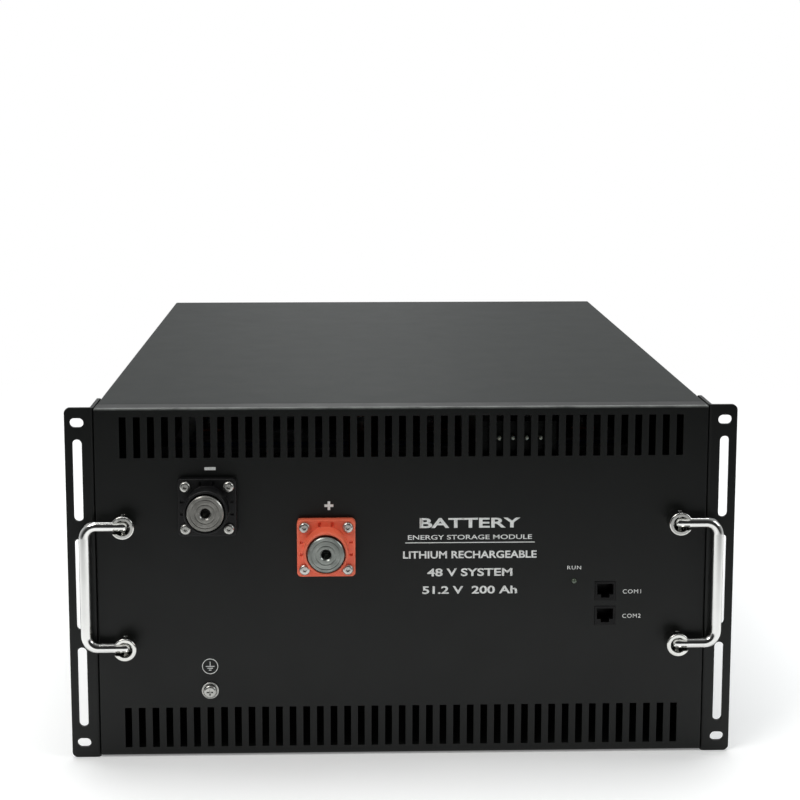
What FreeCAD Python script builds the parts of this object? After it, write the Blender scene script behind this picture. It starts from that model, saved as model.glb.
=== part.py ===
import FreeCAD, Part
import math
import os
import Sketcher

# 6U rack-mounted lithium iron phosphate battery module, 482.6 x 604 x 260 mm.
# Frame: +X right seen from the front, -Y towards the front, +Z up.
# Origin: bottom centre of the whole module.  Millimetres throughout.

V = FreeCAD.Vector
doc = FreeCAD.newDocument("rack_battery")

# ---------------------------------------------------------------- dimensions
TABLE = [
    # 19-inch rack front
    ("rack_width", 482.6), ("module_height", 260.0), ("face_depth", 278.0),
    ("rear_depth", 302.0),
    ("hole_pitch_x", 465.1), ("hole_pitch_z", 238.125), ("slot_width", 6.8),
    ("oval_length", 10.0), ("long_outer", 60.0), ("long_middle", 68.0),
    ("long_offset", 77.0), ("ear_thick", 2.5), ("ear_leg", 40.0), ("ear_radius", 4.0),
    # sheet metal
    ("panel_thick", 2.0), ("panel_half", 220.6), ("panel_low", 0.8), ("panel_high", 259.6),
    ("flange_deep", 15.0), ("tray_thick", 2.0), ("cover_thick", 2.0), ("cover_skirt", 236.0),
    # vent slots
    ("vent_wide", 5.0), ("vent_tall", 30.0), ("vent_pitch", 10.0),
    ("vent_top_z", 238.0), ("vent_low_z", 22.0),
    # folding handles
    ("post_x", 200.0), ("post_half_gap", 45.0), ("post_radius", 8.5), ("post_tall", 12.5),
    ("pocket_radius", 5.75), ("post_slot", 8.6), ("pivot_out", 6.5), ("bow_radius", 4.0),
    ("bow_reach", 28.0), ("bow_bend", 9.0), ("pin_radius", 1.5), ("pin_hole", 1.55),
    ("handle_z", 130.0), ("stud_radius", 3.0), ("stud_len", 10.0),
    # terminals
    ("neg_x", -140.0), ("neg_z", 188.0), ("pos_x", -55.0), ("pos_z", 157.5),
    ("term_half", 21.0), ("term_plate", 6.0), ("term_screw", 15.5), ("term_proud", 24.0),
    ("contact_radius", 13.0), ("contact_bore", 3.4), ("contact_bore_deep", 15.0),
    # small front parts
    ("ground_x", -140.0), ("ground_z", 50.0), ("led_x", 125.0), ("led_z", 130.0),
    ("port_x", 148.0), ("port_z", 113.25), ("port_pitch", 18.5),
    ("soc_x", 70.0), ("soc_pitch", 10.0), ("soc_z", 235.4),
    # cell pack
    ("cell_wide", 174.0), ("cell_thick", 54.0), ("cell_pitch", 55.0), ("row_x", 89.0),
    ("cell_low", 3.0), ("cell_high", 208.0), ("can_wall", 0.8), ("lid_thick", 2.0),
    ("pack_front", 157.0), ("pole_off", 61.5), ("plate_thick", 8.0),
    ("rod_x", 184.0), ("bracket_y", 184.0), ("cable_radius", 5.5),
]
sheet = doc.addObject("Spreadsheet::Sheet", "dims")
for row, (alias, number) in enumerate(TABLE, 1):
    sheet.set("A%d" % row, alias)
    sheet.set("B%d" % row, repr(number))
    sheet.setAlias("B%d" % row, alias)
doc.recompute()


class Dim:
    """A number together with the spreadsheet expression that gives it."""

    def __init__(self, value, text):
        self.value = float(value)
        self.text = text

    def __add__(self, o):
        o = dim(o)
        return Dim(self.value + o.value, "(%s + %s)" % (self.text, o.text))

    def __radd__(self, o):
        return dim(o) + self

    def __sub__(self, o):
        o = dim(o)
        return Dim(self.value - o.value, "(%s - %s)" % (self.text, o.text))

    def __rsub__(self, o):
        return dim(o) - self

    def __mul__(self, o):
        o = dim(o)
        return Dim(self.value * o.value, "(%s * %s)" % (self.text, o.text))

    def __rmul__(self, o):
        return dim(o) * self

    def __truediv__(self, o):
        o = dim(o)
        return Dim(self.value / o.value, "(%s / %s)" % (self.text, o.text))

    def __neg__(self):
        return Dim(-self.value, "(-1 * %s)" % self.text)

    def __float__(self):
        return self.value


def dim(o):
    return o if isinstance(o, Dim) else Dim(float(o), "(%r)" % float(o))


def bind(obj, prop, value):
    value = dim(value)
    if "dims." in value.text:
        obj.setExpression(prop, value.text)


D = {alias: Dim(number, "dims." + alias) for alias, number in TABLE}


class Namespace:
    pass


p = Namespace()
for alias, value in D.items():
    setattr(p, alias, value)

NODES = []          # every sub-part, in order
PLANE = {"XY": ("XY_Plane", 1), "XZ": ("XZ_Plane", -1), "YZ": ("YZ_Plane", 1)}


class Piece:
    """One PartDesign body: sketches, pads, pockets and patterns in its own frame."""

    def __init__(self, name, x=0, y=0, z=0):
        self.body = doc.addObject("PartDesign::Body", name)
        self.body.Label = name
        if hasattr(self.body, "AllowCompound"):
            self.body.AllowCompound = True
        self.planes = {f.Role: f for f in self.body.Origin.OriginFeatures}
        self.count = 0
        self.name = name
        self.body.Placement = FreeCAD.Placement(V(float(x), float(y), float(z)), FreeCAD.Rotation())
        bind(self.body, "Placement.Base.x", x)
        bind(self.body, "Placement.Base.y", y)
        bind(self.body, "Placement.Base.z", z)
        NODES.append(self.body)

    def sketch(self, plane, at=0):
        self.count += 1
        role, sign = PLANE[plane]
        sk = self.body.newObject("Sketcher::SketchObject", "%s_sk%d" % (self.name, self.count))
        sk.AttachmentSupport = (self.planes[role], [""])
        sk.MapMode = "FlatFace"
        off = dim(at) * sign if sign == 1 else -dim(at)
        sk.AttachmentOffset = FreeCAD.Placement(V(0, 0, off.value), FreeCAD.Rotation())
        bind(sk, "AttachmentOffset.Base.z", off)
        return Sketch(sk, plane)

    def pad(self, sk, length, toward=1):
        """Grow the sketch by length along the plane's world axis (+1 or -1); 0 is both ways."""
        self.count += 1
        f = self.body.newObject("PartDesign::Pad", "%s_pad%d" % (self.name, self.count))
        f.Profile = sk.obj
        f.Length = float(length)
        bind(f, "Length", length)
        if toward == 0:
            f.SideType = "Symmetric"
        else:
            f.Reversed = (toward * PLANE[sk.plane][1]) < 0
        self.tip(f)
        return f

    def pocket(self, sk, length=None, toward=1):
        """Cut from the sketch plane towards +1 or -1 of its world axis; None cuts right through."""
        self.count += 1
        before = self.body.Shape.Volume
        f = self.body.newObject("PartDesign::Pocket", "%s_cut%d" % (self.name, self.count))
        f.Profile = sk.obj
        if length is None:
            f.Type = "ThroughAll"
            f.SideType = "Symmetric"
        else:
            f.Length = float(length)
            bind(f, "Length", length)
            f.Reversed = (toward * PLANE[sk.plane][1]) > 0
        self.tip(f)
        if not f.Shape.Volume < before - 1e-3:
            raise RuntimeError("pocket cuts nothing: " + f.Name)
        return f

    def revolve(self, sk, axis="V_Axis", cut=False):
        self.count += 1
        kind = "PartDesign::Groove" if cut else "PartDesign::Revolution"
        f = self.body.newObject(kind, "%s_rev%d" % (self.name, self.count))
        f.Profile = sk.obj
        f.ReferenceAxis = (sk.obj, [axis])
        f.Angle = 360
        self.tip(f)
        return f

    def array(self, features, sk, n1, step1, n2=1, step2=0, back1=False, back2=False):
        """Rows along the sketch's horizontal axis, then along its vertical axis."""
        self.count += 1
        f = self.body.newObject("PartDesign::LinearPattern", "%s_row%d" % (self.name, self.count))
        f.Originals = features
        f.Direction = (sk.obj, ["H_Axis" if n1 > 1 else "V_Axis"])
        first_n, first_s = (n1, step1) if n1 > 1 else (n2, step2)
        f.Occurrences = int(first_n)
        f.Length = float(first_s) * (first_n - 1)
        bind(f, "Length", dim(first_s) * (first_n - 1))
        f.Reversed = back1 if n1 > 1 else back2
        if n1 > 1 and n2 > 1:
            f.Direction2 = (sk.obj, ["V_Axis"])
            f.Occurrences2 = int(n2)
            f.Length2 = float(step2) * (n2 - 1)
            bind(f, "Length2", dim(step2) * (n2 - 1))
            f.Reversed2 = back2
        self.tip(f)
        return f

    def mirror(self, features, role="YZ_Plane"):
        self.count += 1
        f = self.body.newObject("PartDesign::Mirrored", "%s_mir%d" % (self.name, self.count))
        f.Originals = features
        f.MirrorPlane = (self.planes[role], [""])
        self.tip(f)
        return f

    def edges(self, kind, size, want):
        """Fillet or chamfer the edges of the current tip that want(edge) picks."""
        base = self.body.Tip
        names = ["Edge%d" % (i + 1) for i, e in enumerate(base.Shape.Edges) if want(e)]
        if not names:
            raise RuntimeError("no edges picked on " + self.name)
        self.count += 1
        f = self.body.newObject("PartDesign::" + kind, "%s_edge%d" % (self.name, self.count))
        f.Base = (base, names)
        if kind == "Fillet":
            f.Radius = float(size)
            bind(f, "Radius", size)
        else:
            f.Size = float(size)
            bind(f, "Size", size)
        self.tip(f)
        return f

    def tip(self, f):
        self.body.Tip = f
        doc.recompute()
        for o in self.body.Group:
            if o.isDerivedFrom("Sketcher::SketchObject") and ("Invalid" in o.State or "Error" in o.State):
                raise RuntimeError("sketch failed: %s %s" % (o.Name, o.State))
        if "Invalid" in f.State or "Error" in f.State or f.Shape.isNull():
            raise RuntimeError("feature failed: %s %s" % (f.Name, f.State))


class Sketch:
    def __init__(self, obj, plane):
        self.obj = obj
        self.plane = plane

    def _fix(self, kind, geo, pos, value):
        value = dim(value)
        k = self.obj.addConstraint(Sketcher.Constraint(kind, -1, 1, geo, pos, value.value))
        if "dims." in value.text:
            self.obj.setExpression("Constraints[%d]" % k, value.text)

    def poly(self, points):
        """Closed outline through points, each corner held by its two coordinates."""
        start = self.obj.GeometryCount
        n = len(points)
        v = [(dim(a), dim(b)) for a, b in points]
        for i in range(n):
            a, b = v[i], v[(i + 1) % n]
            self.obj.addGeometry(Part.LineSegment(V(a[0].value, a[1].value, 0), V(b[0].value, b[1].value, 0)))
        for i in range(n):
            self.obj.addConstraint(Sketcher.Constraint("Coincident", start + i, 2, start + (i + 1) % n, 1))
        for i in range(n):
            self._fix("DistanceX", start + i, 1, v[i][0])
            self._fix("DistanceY", start + i, 1, v[i][1])
        return self

    def rect(self, x0, x1, y0, y1):
        return self.poly([(x0, y0), (x1, y0), (x1, y1), (x0, y1)])

    def box(self, cx, cy, w, h):
        cx, cy, w, h = dim(cx), dim(cy), dim(w), dim(h)
        return self.rect(cx - w / 2, cx + w / 2, cy - h / 2, cy + h / 2)

    def circle(self, cx, cy, r):
        g = self.obj.addGeometry(Part.Circle(V(float(cx), float(cy), 0), V(0, 0, 1), float(r)))
        k = self.obj.addConstraint(Sketcher.Constraint("Radius", g, float(r)))
        if "dims." in dim(r).text:
            self.obj.setExpression("Constraints[%d]" % k, dim(r).text)
        self._fix("DistanceX", g, 3, cx)
        self._fix("DistanceY", g, 3, cy)
        return self

    def circles(self, centres, r):
        for cx, cy in centres:
            self.circle(cx, cy, r)
        return self

    def hexagon(self, cx, cy, flats, turn=0.0):
        cx, cy, r = dim(cx), dim(cy), dim(flats) / math.sqrt(3)
        pts = []
        for k in range(6):
            a = math.radians(60 * k + turn)
            pts.append((cx + r * round(math.cos(a), 9), cy + r * round(math.sin(a), 9)))
        return self.poly(pts)

    def slot(self, cx, cy, length, width, upright=False):
        """Round-ended slot: length is end to end."""
        cx, cy, length, width = dim(cx), dim(cy), dim(length), dim(width)
        r = width / 2
        h = (length - width) / 2
        start = self.obj.GeometryCount
        ux, uy = (0, 1) if upright else (1, 0)

        def at(a, b):       # a along the slot, b across it
            return (cx + a * ux - b * uy, cy + a * uy + b * ux)

        q = [at(-h, -r), at(h, -r), at(h, r), at(-h, r)]
        c1, c0 = at(h, dim(0)), at(-h, dim(0))
        base = 90.0 if upright else 0.0
        g = self.obj.addGeometry

        def line(a, b):
            g(Part.LineSegment(V(a[0].value, a[1].value, 0), V(b[0].value, b[1].value, 0)))

        def arc(c, a0, a1):
            g(Part.ArcOfCircle(Part.Circle(V(c[0].value, c[1].value, 0), V(0, 0, 1), r.value),
                               math.radians(a0), math.radians(a1)))

        line(q[0], q[1])
        arc(c1, base - 90, base + 90)
        line(q[2], q[3])
        arc(c0, base + 90, base + 270)
        con = self.obj.addConstraint
        for k in range(4):
            con(Sketcher.Constraint("Tangent", start + k, 2, start + (k + 1) % 4, 1))
        con(Sketcher.Constraint("Equal", start + 1, start + 3))
        for k, c in ((1, c1), (3, c0)):
            self._fix("DistanceX", start + k, 3, c[0])
            self._fix("DistanceY", start + k, 3, c[1])
        k = con(Sketcher.Constraint("Radius", start + 1, r.value))
        if "dims." in r.text:
            self.obj.setExpression("Constraints[%d]" % k, r.text)
        return self


def block(name, x0, x1, y0, y1, z0, z1, boxes=()):
    """A sheet, bar or board: one rectangular pad, with further pads for the rest of the group."""
    pc = Piece(name, 0, 0, z0)
    sk = pc.sketch("XY", 0)
    sk.rect(x0, x1, y0, y1)
    pc.pad(sk, dim(z1) - z0, 1)
    for (a0, a1, b0, b1, c0, c1) in boxes:
        s2 = pc.sketch("XY", dim(c0) - z0)
        s2.rect(a0, a1, b0, b1)
        pc.pad(s2, dim(c1) - c0, 1)
    return pc


def flat(e, axis, value, tol=0.02):
    """True when the edge lies wholly at one coordinate of axis."""
    bb = e.BoundBox
    lo, hi = {"x": (bb.XMin, bb.XMax), "y": (bb.YMin, bb.YMax), "z": (bb.ZMin, bb.ZMax)}[axis]
    return abs(lo - float(value)) < tol and abs(hi - float(value)) < tol


def ring(e, radius, tol=0.02):
    return hasattr(e.Curve, "Radius") and abs(e.Curve.Radius - float(radius)) < tol


# ================================================================ front
face = -p.face_depth                       # y of the panel's front face
back = face + p.panel_thick                # y of its rear face
mid = p.module_height / 2

# --- front panel: folded steel shoebox lid, two rows of vent slots
pc = Piece("front_panel", 0, face, 0)
sk = pc.sketch("XZ", 0)
sk.rect(-p.panel_half, p.panel_half, p.panel_low, p.panel_high)
pc.pad(sk, p.flange_deep, 1)
sk = pc.sketch("XZ", p.flange_deep)
sk.rect(-p.panel_half + p.panel_thick, p.panel_half - p.panel_thick,
        p.panel_low + p.panel_thick, p.panel_high - p.panel_thick)
pc.pocket(sk, p.flange_deep - p.panel_thick, -1)
pc.edges("Fillet", 2.0, lambda e: flat(e, "y", 0) and (flat(e, "z", p.panel_low) or flat(e, "z", p.panel_high)))
pc.edges("Fillet", 1.2, lambda e: flat(e, "y", 0) and (flat(e, "x", -p.panel_half, 0.5) or flat(e, "x", p.panel_half, 0.5))
         and e.BoundBox.ZLength > 200)
# deeper side flanges, which the ears and the tray walls are screwed to
x_in = p.panel_half - p.panel_thick
sk = pc.sketch("XZ", p.flange_deep)
for a in (-1, 1):
    sk.rect(*(sorted((x_in * a, p.panel_half * a), key=float)), p.panel_low, p.panel_high - p.panel_thick)
pc.pad(sk, p.ear_leg - p.flange_deep, 1)
sk = pc.sketch("YZ", 0)
sk.circles([(26.0, z) for z in (25.0, 95.0, 165.0, 235.0)], 2.15)
pc.pocket(sk)
# the vents: one slot, repeated 41 times along X and in two rows
half_row = p.vent_pitch * 20
sk = pc.sketch("XZ", 0)
sk.box(-half_row, p.vent_low_z, p.vent_wide, p.vent_tall)
cut = pc.pocket(sk, p.panel_thick, 1)
pc.array([cut], sk, 41, p.vent_pitch, 2, p.vent_top_z - p.vent_low_z)
# round cut-outs for terminals, their screws, handle studs, earth screw and lamp
sk = pc.sketch("XZ", 0)
corners = [(-1, -1), (1, -1), (1, 1), (-1, 1)]
for cx, cz in ((p.neg_x, p.neg_z), (p.pos_x, p.pos_z)):
    sk.circle(cx, cz, 15.3)
    for a, b in corners:
        sk.circle(cx + p.term_screw * a, cz + p.term_screw * b, 2.1)
for a in (-1, 1):
    for b in (-1, 1):
        sk.circle(p.post_x * a, p.handle_z + p.post_half_gap * b, p.stud_radius + 0.1)
sk.circle(p.ground_x, p.ground_z, 3.1)
sk.circle(p.led_x, p.led_z, 2.05)
for b in (-0.5, 0.5):
    sk.box(p.port_x, p.port_z + p.port_pitch * b, 15.4, 14.0)
pc.pocket(sk, p.panel_thick, 1)
front_panel = pc

# --- rack ears: L brackets with the standard rack slots and long lightening slots
for name, s in (("rack_ear_left", -1), ("rack_ear_right", 1)):
    pc = Piece(name, 0, face, 0)
    x_in = p.panel_half
    x_out = p.rack_width / 2
    sk = pc.sketch("XY", 0)
    pts = [(x_in, 0), (x_out, 0), (x_out, p.ear_thick), (x_in + p.ear_thick, p.ear_thick),
           (x_in + p.ear_thick, p.ear_leg), (x_in, p.ear_leg)]
    if s < 0:
        pts = [(-dim(a), b) for a, b in reversed(pts)]
    sk.poly(pts)
    pc.pad(sk, p.module_height, 1)
    pc.edges("Fillet", 2.6, lambda e: e.BoundBox.ZLength > 250 and flat(e, "y", 0) and abs(e.BoundBox.Center.x * s - 220.6) < 0.3)
    pc.edges("Fillet", 1.0, lambda e: e.BoundBox.ZLength > 250 and abs(e.BoundBox.Center.y - 2.5) < 0.1 and abs(e.BoundBox.Center.x * s - 223.1) < 0.1)
    pc.edges("Fillet", p.ear_radius, lambda e: e.BoundBox.YLength > 2.4 and e.BoundBox.YLength < 2.6 and e.BoundBox.ZLength < 0.01
             and abs(e.BoundBox.Center.x * s - 241.3) < 0.1)
    pc.edges("Fillet", 4.0, lambda e: e.BoundBox.XLength > 2.4 and e.BoundBox.XLength < 2.6 and flat(e, "y", 40))
    sk = pc.sketch("XZ", 0)
    cx = p.hole_pitch_x / 2 * s
    for b in (-1, 1):
        sk.slot(cx, mid + p.hole_pitch_z / 2 * b, p.oval_length, p.slot_width)
        sk.slot(cx, mid + p.long_offset * b, p.long_outer, p.slot_width, True)
    sk.slot(cx, mid, p.long_middle, p.slot_width, True)
    pc.pocket(sk, p.ear_thick, 1)
    # countersunk screw holes through the leg
    sk = pc.sketch("YZ", 0)
    sk.circles([(26.0, z) for z in (25.0, 95.0, 165.0, 235.0)], 2.15)
    pc.pocket(sk)
    pc.edges("Chamfer", 1.9, lambda e: ring(e, 2.15) and flat(e, "x", 223.1 * s, 0.05))



# ================================================================ screws
def flat_screws(name, places, length, side_x):
    """M4 countersunk socket screws along X on both sides of the case, heads flush with side_x.
    places is (y, first z, count along Z, step, count along Y, step)."""
    y0, z0, nz, dz, ny, dy = places
    pc = Piece(name, 0, 0, 0)
    sk = pc.sketch("XY", z0)
    x, y0 = dim(side_x), dim(y0)
    sk.poly([(x - length, y0), (x, y0), (x, y0 + 3.85), (x - 1.85, y0 + 2.0), (x - length, y0 + 2.0)])
    pc.count += 1
    f = pc.body.newObject("PartDesign::Revolution", "%s_rev%d" % (name, pc.count))
    f.Profile = sk.obj
    f.ReferenceAxis = (sk.obj, ["Edge1"])
    f.Angle = 360
    pc.tip(f)
    sk = pc.sketch("YZ", x)
    sk.hexagon(y0, z0, 2.5)
    cut = pc.pocket(sk, 1.3, -1)
    pc.array([f, cut], sk, ny, dy, nz, dz)
    # the other side of the case
    pc.count += 1
    m = pc.body.newObject("PartDesign::MultiTransform", "%s_multi%d" % (name, pc.count))
    row = pc.body.Tip
    mir = pc.body.newObject("PartDesign::Mirrored", "%s_mir%d" % (name, pc.count))
    mir.MirrorPlane = (pc.planes["YZ_Plane"], [""])
    row2 = pc.body.newObject("PartDesign::LinearPattern", "%s_pat%d" % (name, pc.count))
    row2.Direction = row.Direction
    row2.Length = row.Length
    row2.Occurrences = row.Occurrences
    if row.Occurrences2 > 1:
        row2.Direction2 = row.Direction2
        row2.Length2 = row.Length2
        row2.Occurrences2 = row.Occurrences2
    m.Originals = [f, cut]
    m.Transformations = [row2, mir]
    pc.body.removeObject(row)
    doc.removeObject(row.Name)
    pc.tip(m)
    return pc


flat_screws("rack_ear_screws", (face + 26.0, 25.0, 4, 70.0, 1, 0), 9.0, p.panel_half + p.ear_thick)

# ================================================================ case
# --- chassis tray: bottom and full-height side walls in one folded sheet
pc = Piece("chassis_tray", 0, 0, 0)
x_in = p.panel_half - p.panel_thick            # outer face of the tray walls
seam = face + p.flange_deep + 0.5
sk = pc.sketch("XZ", seam)
top_in = p.panel_high - p.cover_thick
t = p.tray_thick
sk.poly([(-x_in, 0), (x_in, 0), (x_in, top_in), (x_in - t, top_in), (x_in - t, t), (-x_in + t, t), (-x_in + t, top_in), (-x_in, top_in)])
pc.pad(sk, p.rear_depth - seam, 1)
pc.edges("Fillet", 1.8, lambda e: flat(e, "z", 0) and e.BoundBox.YLength > 400)
sk = pc.sketch("XZ", seam)
for a in (-1, 1):
    sk.rect(*(sorted(((x_in - t) * a, x_in * a), key=float)), 3.2, top_in - 0.4)
pc.pad(sk, p.flange_deep - p.panel_thick - 0.1, -1)
side_holes = [(face + 26.0, z) for z in (25.0, 95.0, 165.0, 235.0)]
cover_holes = [(dim(y), dim(247.0)) for y in (-200.0, -80.0, 40.0, 160.0, 280.0)]
rear_holes = [(dim(293.0), dim(z)) for z in (40.0, 120.0, 200.0)]
sk = pc.sketch("YZ", 0)
sk.circles(side_holes + cover_holes, 2.0)
sk.circles(rear_holes, 2.15)
pc.pocket(sk)
pc.edges("Chamfer", 1.8, lambda e: ring(e, 2.15) and (flat(e, "x", 218.6, 0.05) or flat(e, "x", -218.6, 0.05)))
floor_y = [-110.0, 0.0, 125.0, 240.0]
foot_x = [-120.0, -40.0, 40.0, 120.0]
floor_holes = [(192.0 * a, y) for a in (-1, 1) for y in floor_y] + [(x, -176.0) for x in foot_x]
sk = pc.sketch("XY", 0)
sk.circles(floor_holes, 2.6)
pc.pocket(sk, t, 1)
pc.edges("Chamfer", 1.8, lambda e: ring(e, 2.6) and flat(e, "z", 0))

# --- top cover: plate with short skirts that overlap the tray walls
pc = Piece("top_cover", 0, 0, 0)
sk = pc.sketch("XZ", seam)
c = p.cover_thick
sk.rect(-p.panel_half, p.panel_half, top_in, p.panel_high)
pc.pad(sk, p.rear_depth - seam, 1)
sk = pc.sketch("XZ", face + p.ear_leg + 0.5)
for a in (-1, 1):
    sk.rect(*(sorted((x_in * a, p.panel_half * a), key=float)), p.cover_skirt, top_in)
pc.pad(sk, p.rear_depth - (face + p.ear_leg + 0.5), 1)
pc.edges("Fillet", 1.6, lambda e: flat(e, "z", p.panel_high) and e.BoundBox.YLength > 400)
sk = pc.sketch("YZ", 0)
sk.circles(cover_holes, 2.15)
pc.pocket(sk)
pc.edges("Chamfer", 1.8, lambda e: ring(e, 2.15) and (flat(e, "x", 220.6, 0.05) or flat(e, "x", -220.6, 0.05)))
flat_screws("cover_screws", (-200.0, 247.0, 1, 0, 5, 120.0), 7.0, p.panel_half)

# --- rear panel with its own vents, screwed between the tray walls
pc = Piece("rear_panel", 0, p.rear_depth, 0)
hw = x_in - t - 0.2
sk = pc.sketch("XZ", 0)
sk.rect(-hw, hw, t + 0.2, top_in - 0.2)
pc.pad(sk, 2.0, -1)
sk = pc.sketch("XZ", -2.0)
for a in (-1, 1):
    sk.rect(*(sorted(((hw - 2.0) * a, hw * a), key=float)), 14.0, 230.0)
pc.pad(sk, 16.0, -1)
sk = pc.sketch("XZ", 0)
sk.box(-half_row, p.vent_low_z, p.vent_wide, p.vent_tall)
cut = pc.pocket(sk, 2.0, -1)
pc.array([cut], sk, 21, p.vent_pitch * 2, 2, p.vent_top_z - p.vent_low_z)
sk = pc.sketch("YZ", 0)
sk.circles([(y - p.rear_depth, z) for y, z in rear_holes], 2.0)
pc.pocket(sk)
flat_screws("rear_panel_screws", (293.0, 40.0, 3, 80.0, 1, 0), 8.0, x_in)

# ================================================================ folding handles
# posts: turned bushes with a pocket, open outwards and to the front, and a stud behind
spots = [(p.post_x * a, p.post_half_gap * b) for a in (-1, 1) for b in (-1, 1)]
pc = Piece("handle_posts", 0, face, p.handle_z)
sk = pc.sketch("XZ", 0)
sk.circles(spots, p.post_radius)
pc.pad(sk, p.post_tall, -1)
pc.edges("Fillet", 1.0, lambda e: ring(e, p.post_radius) and flat(e, "y", -12.5))
pc.edges("Fillet", 0.4, lambda e: ring(e, p.post_radius) and flat(e, "y", 0))
sk = pc.sketch("XZ", 0)
sk.circles(spots, p.stud_radius)
pc.pad(sk, p.stud_len, 1)
sk = pc.sketch("XZ", -p.post_tall)
sk.circles(spots, p.pocket_radius)
pc.pocket(sk, p.post_tall - 1.8, 1)
sk = pc.sketch("XZ", -p.post_tall)
for a in (-1, 1):
    for b in (-1, 1):
        x0, x1 = sorted((p.post_x * a, p.post_x * a + 12.0 * a), key=float)
        sk.rect(x0, x1, p.post_half_gap * b - p.post_slot / 2, p.post_half_gap * b + p.post_slot / 2)
pc.pocket(sk, p.post_tall - 1.8, 1)
sk = pc.sketch("XY", 0)
sk.circles([(p.post_x * a, -p.pivot_out) for a in (-1, 1)], p.pin_radius)
pc.pocket(sk)
# pivot pins, pressed into the posts
pc = Piece("handle_pins", 0, face - p.pivot_out, p.handle_z)
for b in (1, -1):
    sk = pc.sketch("XY", p.post_half_gap * b - 8.2)
    sk.circles([(p.post_x * a, 0) for a in (-1, 1)], p.pin_radius)
    pc.pad(sk, 16.4, 1)

for side, s in (("left", -1), ("right", 1)):
    turn = FreeCAD.Rotation(V(0, 1, 0), 180 if s < 0 else 0)

    # bow: one bent rod with rounded ends round the pivot pins
    pc = Piece("handle_bow_" + side, p.post_x * s, face - p.pivot_out, p.handle_z)
    path = pc.sketch("XZ", 0)
    o = path.obj
    g, b, r = float(p.post_half_gap), float(p.bow_bend), float(p.bow_reach)
    o.addGeometry(Part.LineSegment(V(0, g, 0), V(r - b, g, 0)))
    o.addGeometry(Part.ArcOfCircle(Part.Circle(V(r - b, g - b, 0), V(0, 0, 1), b), 0, math.pi / 2))
    o.addGeometry(Part.LineSegment(V(r, g - b, 0), V(r, b - g, 0)))
    o.addGeometry(Part.ArcOfCircle(Part.Circle(V(r - b, b - g, 0), V(0, 0, 1), b), -math.pi / 2, 0))
    o.addGeometry(Part.LineSegment(V(r - b, -g, 0), V(0, -g, 0)))
    for one, e1, two, e2 in ((0, 2, 1, 2), (1, 1, 2, 1), (2, 2, 3, 2), (3, 1, 4, 1)):
        o.addConstraint(Sketcher.Constraint("Tangent", one, e1, two, e2))
    for q, kind in ((0, "Horizontal"), (4, "Horizontal"), (2, "Vertical")):
        o.addConstraint(Sketcher.Constraint(kind, q))
    path._fix("DistanceX", 0, 1, 0)
    path._fix("DistanceY", 0, 1, p.post_half_gap)
    path._fix("DistanceX", 4, 2, 0)
    path._fix("DistanceY", 4, 2, -p.post_half_gap)
    path._fix("DistanceX", 2, 1, p.bow_reach)
    for q in (1, 3):
        k = o.addConstraint(Sketcher.Constraint("Radius", q, b))
        o.setExpression("Constraints[%d]" % k, "dims.bow_bend")
    prof = pc.sketch("YZ", 0)
    prof.circle(0, p.post_half_gap, p.bow_radius)
    doc.recompute()
    f = pc.body.newObject("PartDesign::AdditivePipe", "bow_pipe_" + side)
    f.Profile = prof.obj
    f.Spine = (o, ["Edge1", "Edge2", "Edge3", "Edge4", "Edge5"])
    pc.tip(f)
    for b in (1, -1):
        f = pc.body.newObject("PartDesign::AdditiveSphere", "bow_end_%s%d" % (side, b + 1))
        f.Radius = float(p.bow_radius)
        bind(f, "Radius", p.bow_radius)
        f.AttachmentSupport = (pc.planes["XY_Plane"], [""])
        f.MapMode = "FlatFace"
        f.AttachmentOffset = FreeCAD.Placement(V(0, 0, float(p.post_half_gap) * b), FreeCAD.Rotation())
        bind(f, "AttachmentOffset.Base.z", p.post_half_gap * b)
        pc.tip(f)
    sk = pc.sketch("XY", 0)
    sk.circle(0, 0, p.pin_hole)
    pc.pocket(sk)
    pc.body.Placement = FreeCAD.Placement(pc.body.Placement.Base, turn)
    bow_volume = pc.body.Shape.Volume
    run = 2 * 45.0 + 2 * 28.0 - 4 * 9.0 + math.pi * 9.0
    print("bow", side, "volume", round(bow_volume), "section x length", round(math.pi * 16 * run + 4 / 3 * math.pi * 64),
          "bend radius", 9.0)

# washers and M6 nuts on the handle studs and the earth screw, behind the panel
pc = Piece("panel_washers", 0, back, p.handle_z)
sk = pc.sketch("XZ", 0)
sk.circles(spots, 6.0)
sk.circles(spots, p.stud_radius)
pc.pad(sk, 1.0, 1)
sk = pc.sketch("XZ", -p.panel_thick)
sk.circle(p.ground_x, p.ground_z - p.handle_z, 6.2)
sk.circle(p.ground_x, p.ground_z - p.handle_z, 3.05)
pc.pad(sk, 1.2, -1)
pc = Piece("panel_nuts", 0, back + 1.0, p.handle_z)
sk = pc.sketch("XZ", 0)
for cx, cz in spots:
    sk.hexagon(cx, cz, 10.0)
sk.circles(spots, p.stud_radius)
pc.pad(sk, 5.0, 1)
sk = pc.sketch("XZ", -1.0)
sk.hexagon(p.ground_x, p.ground_z - p.handle_z, 10.0)
sk.circle(p.ground_x, p.ground_z - p.handle_z, 3.0)
pc.pad(sk, 5.0, 1)

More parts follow.
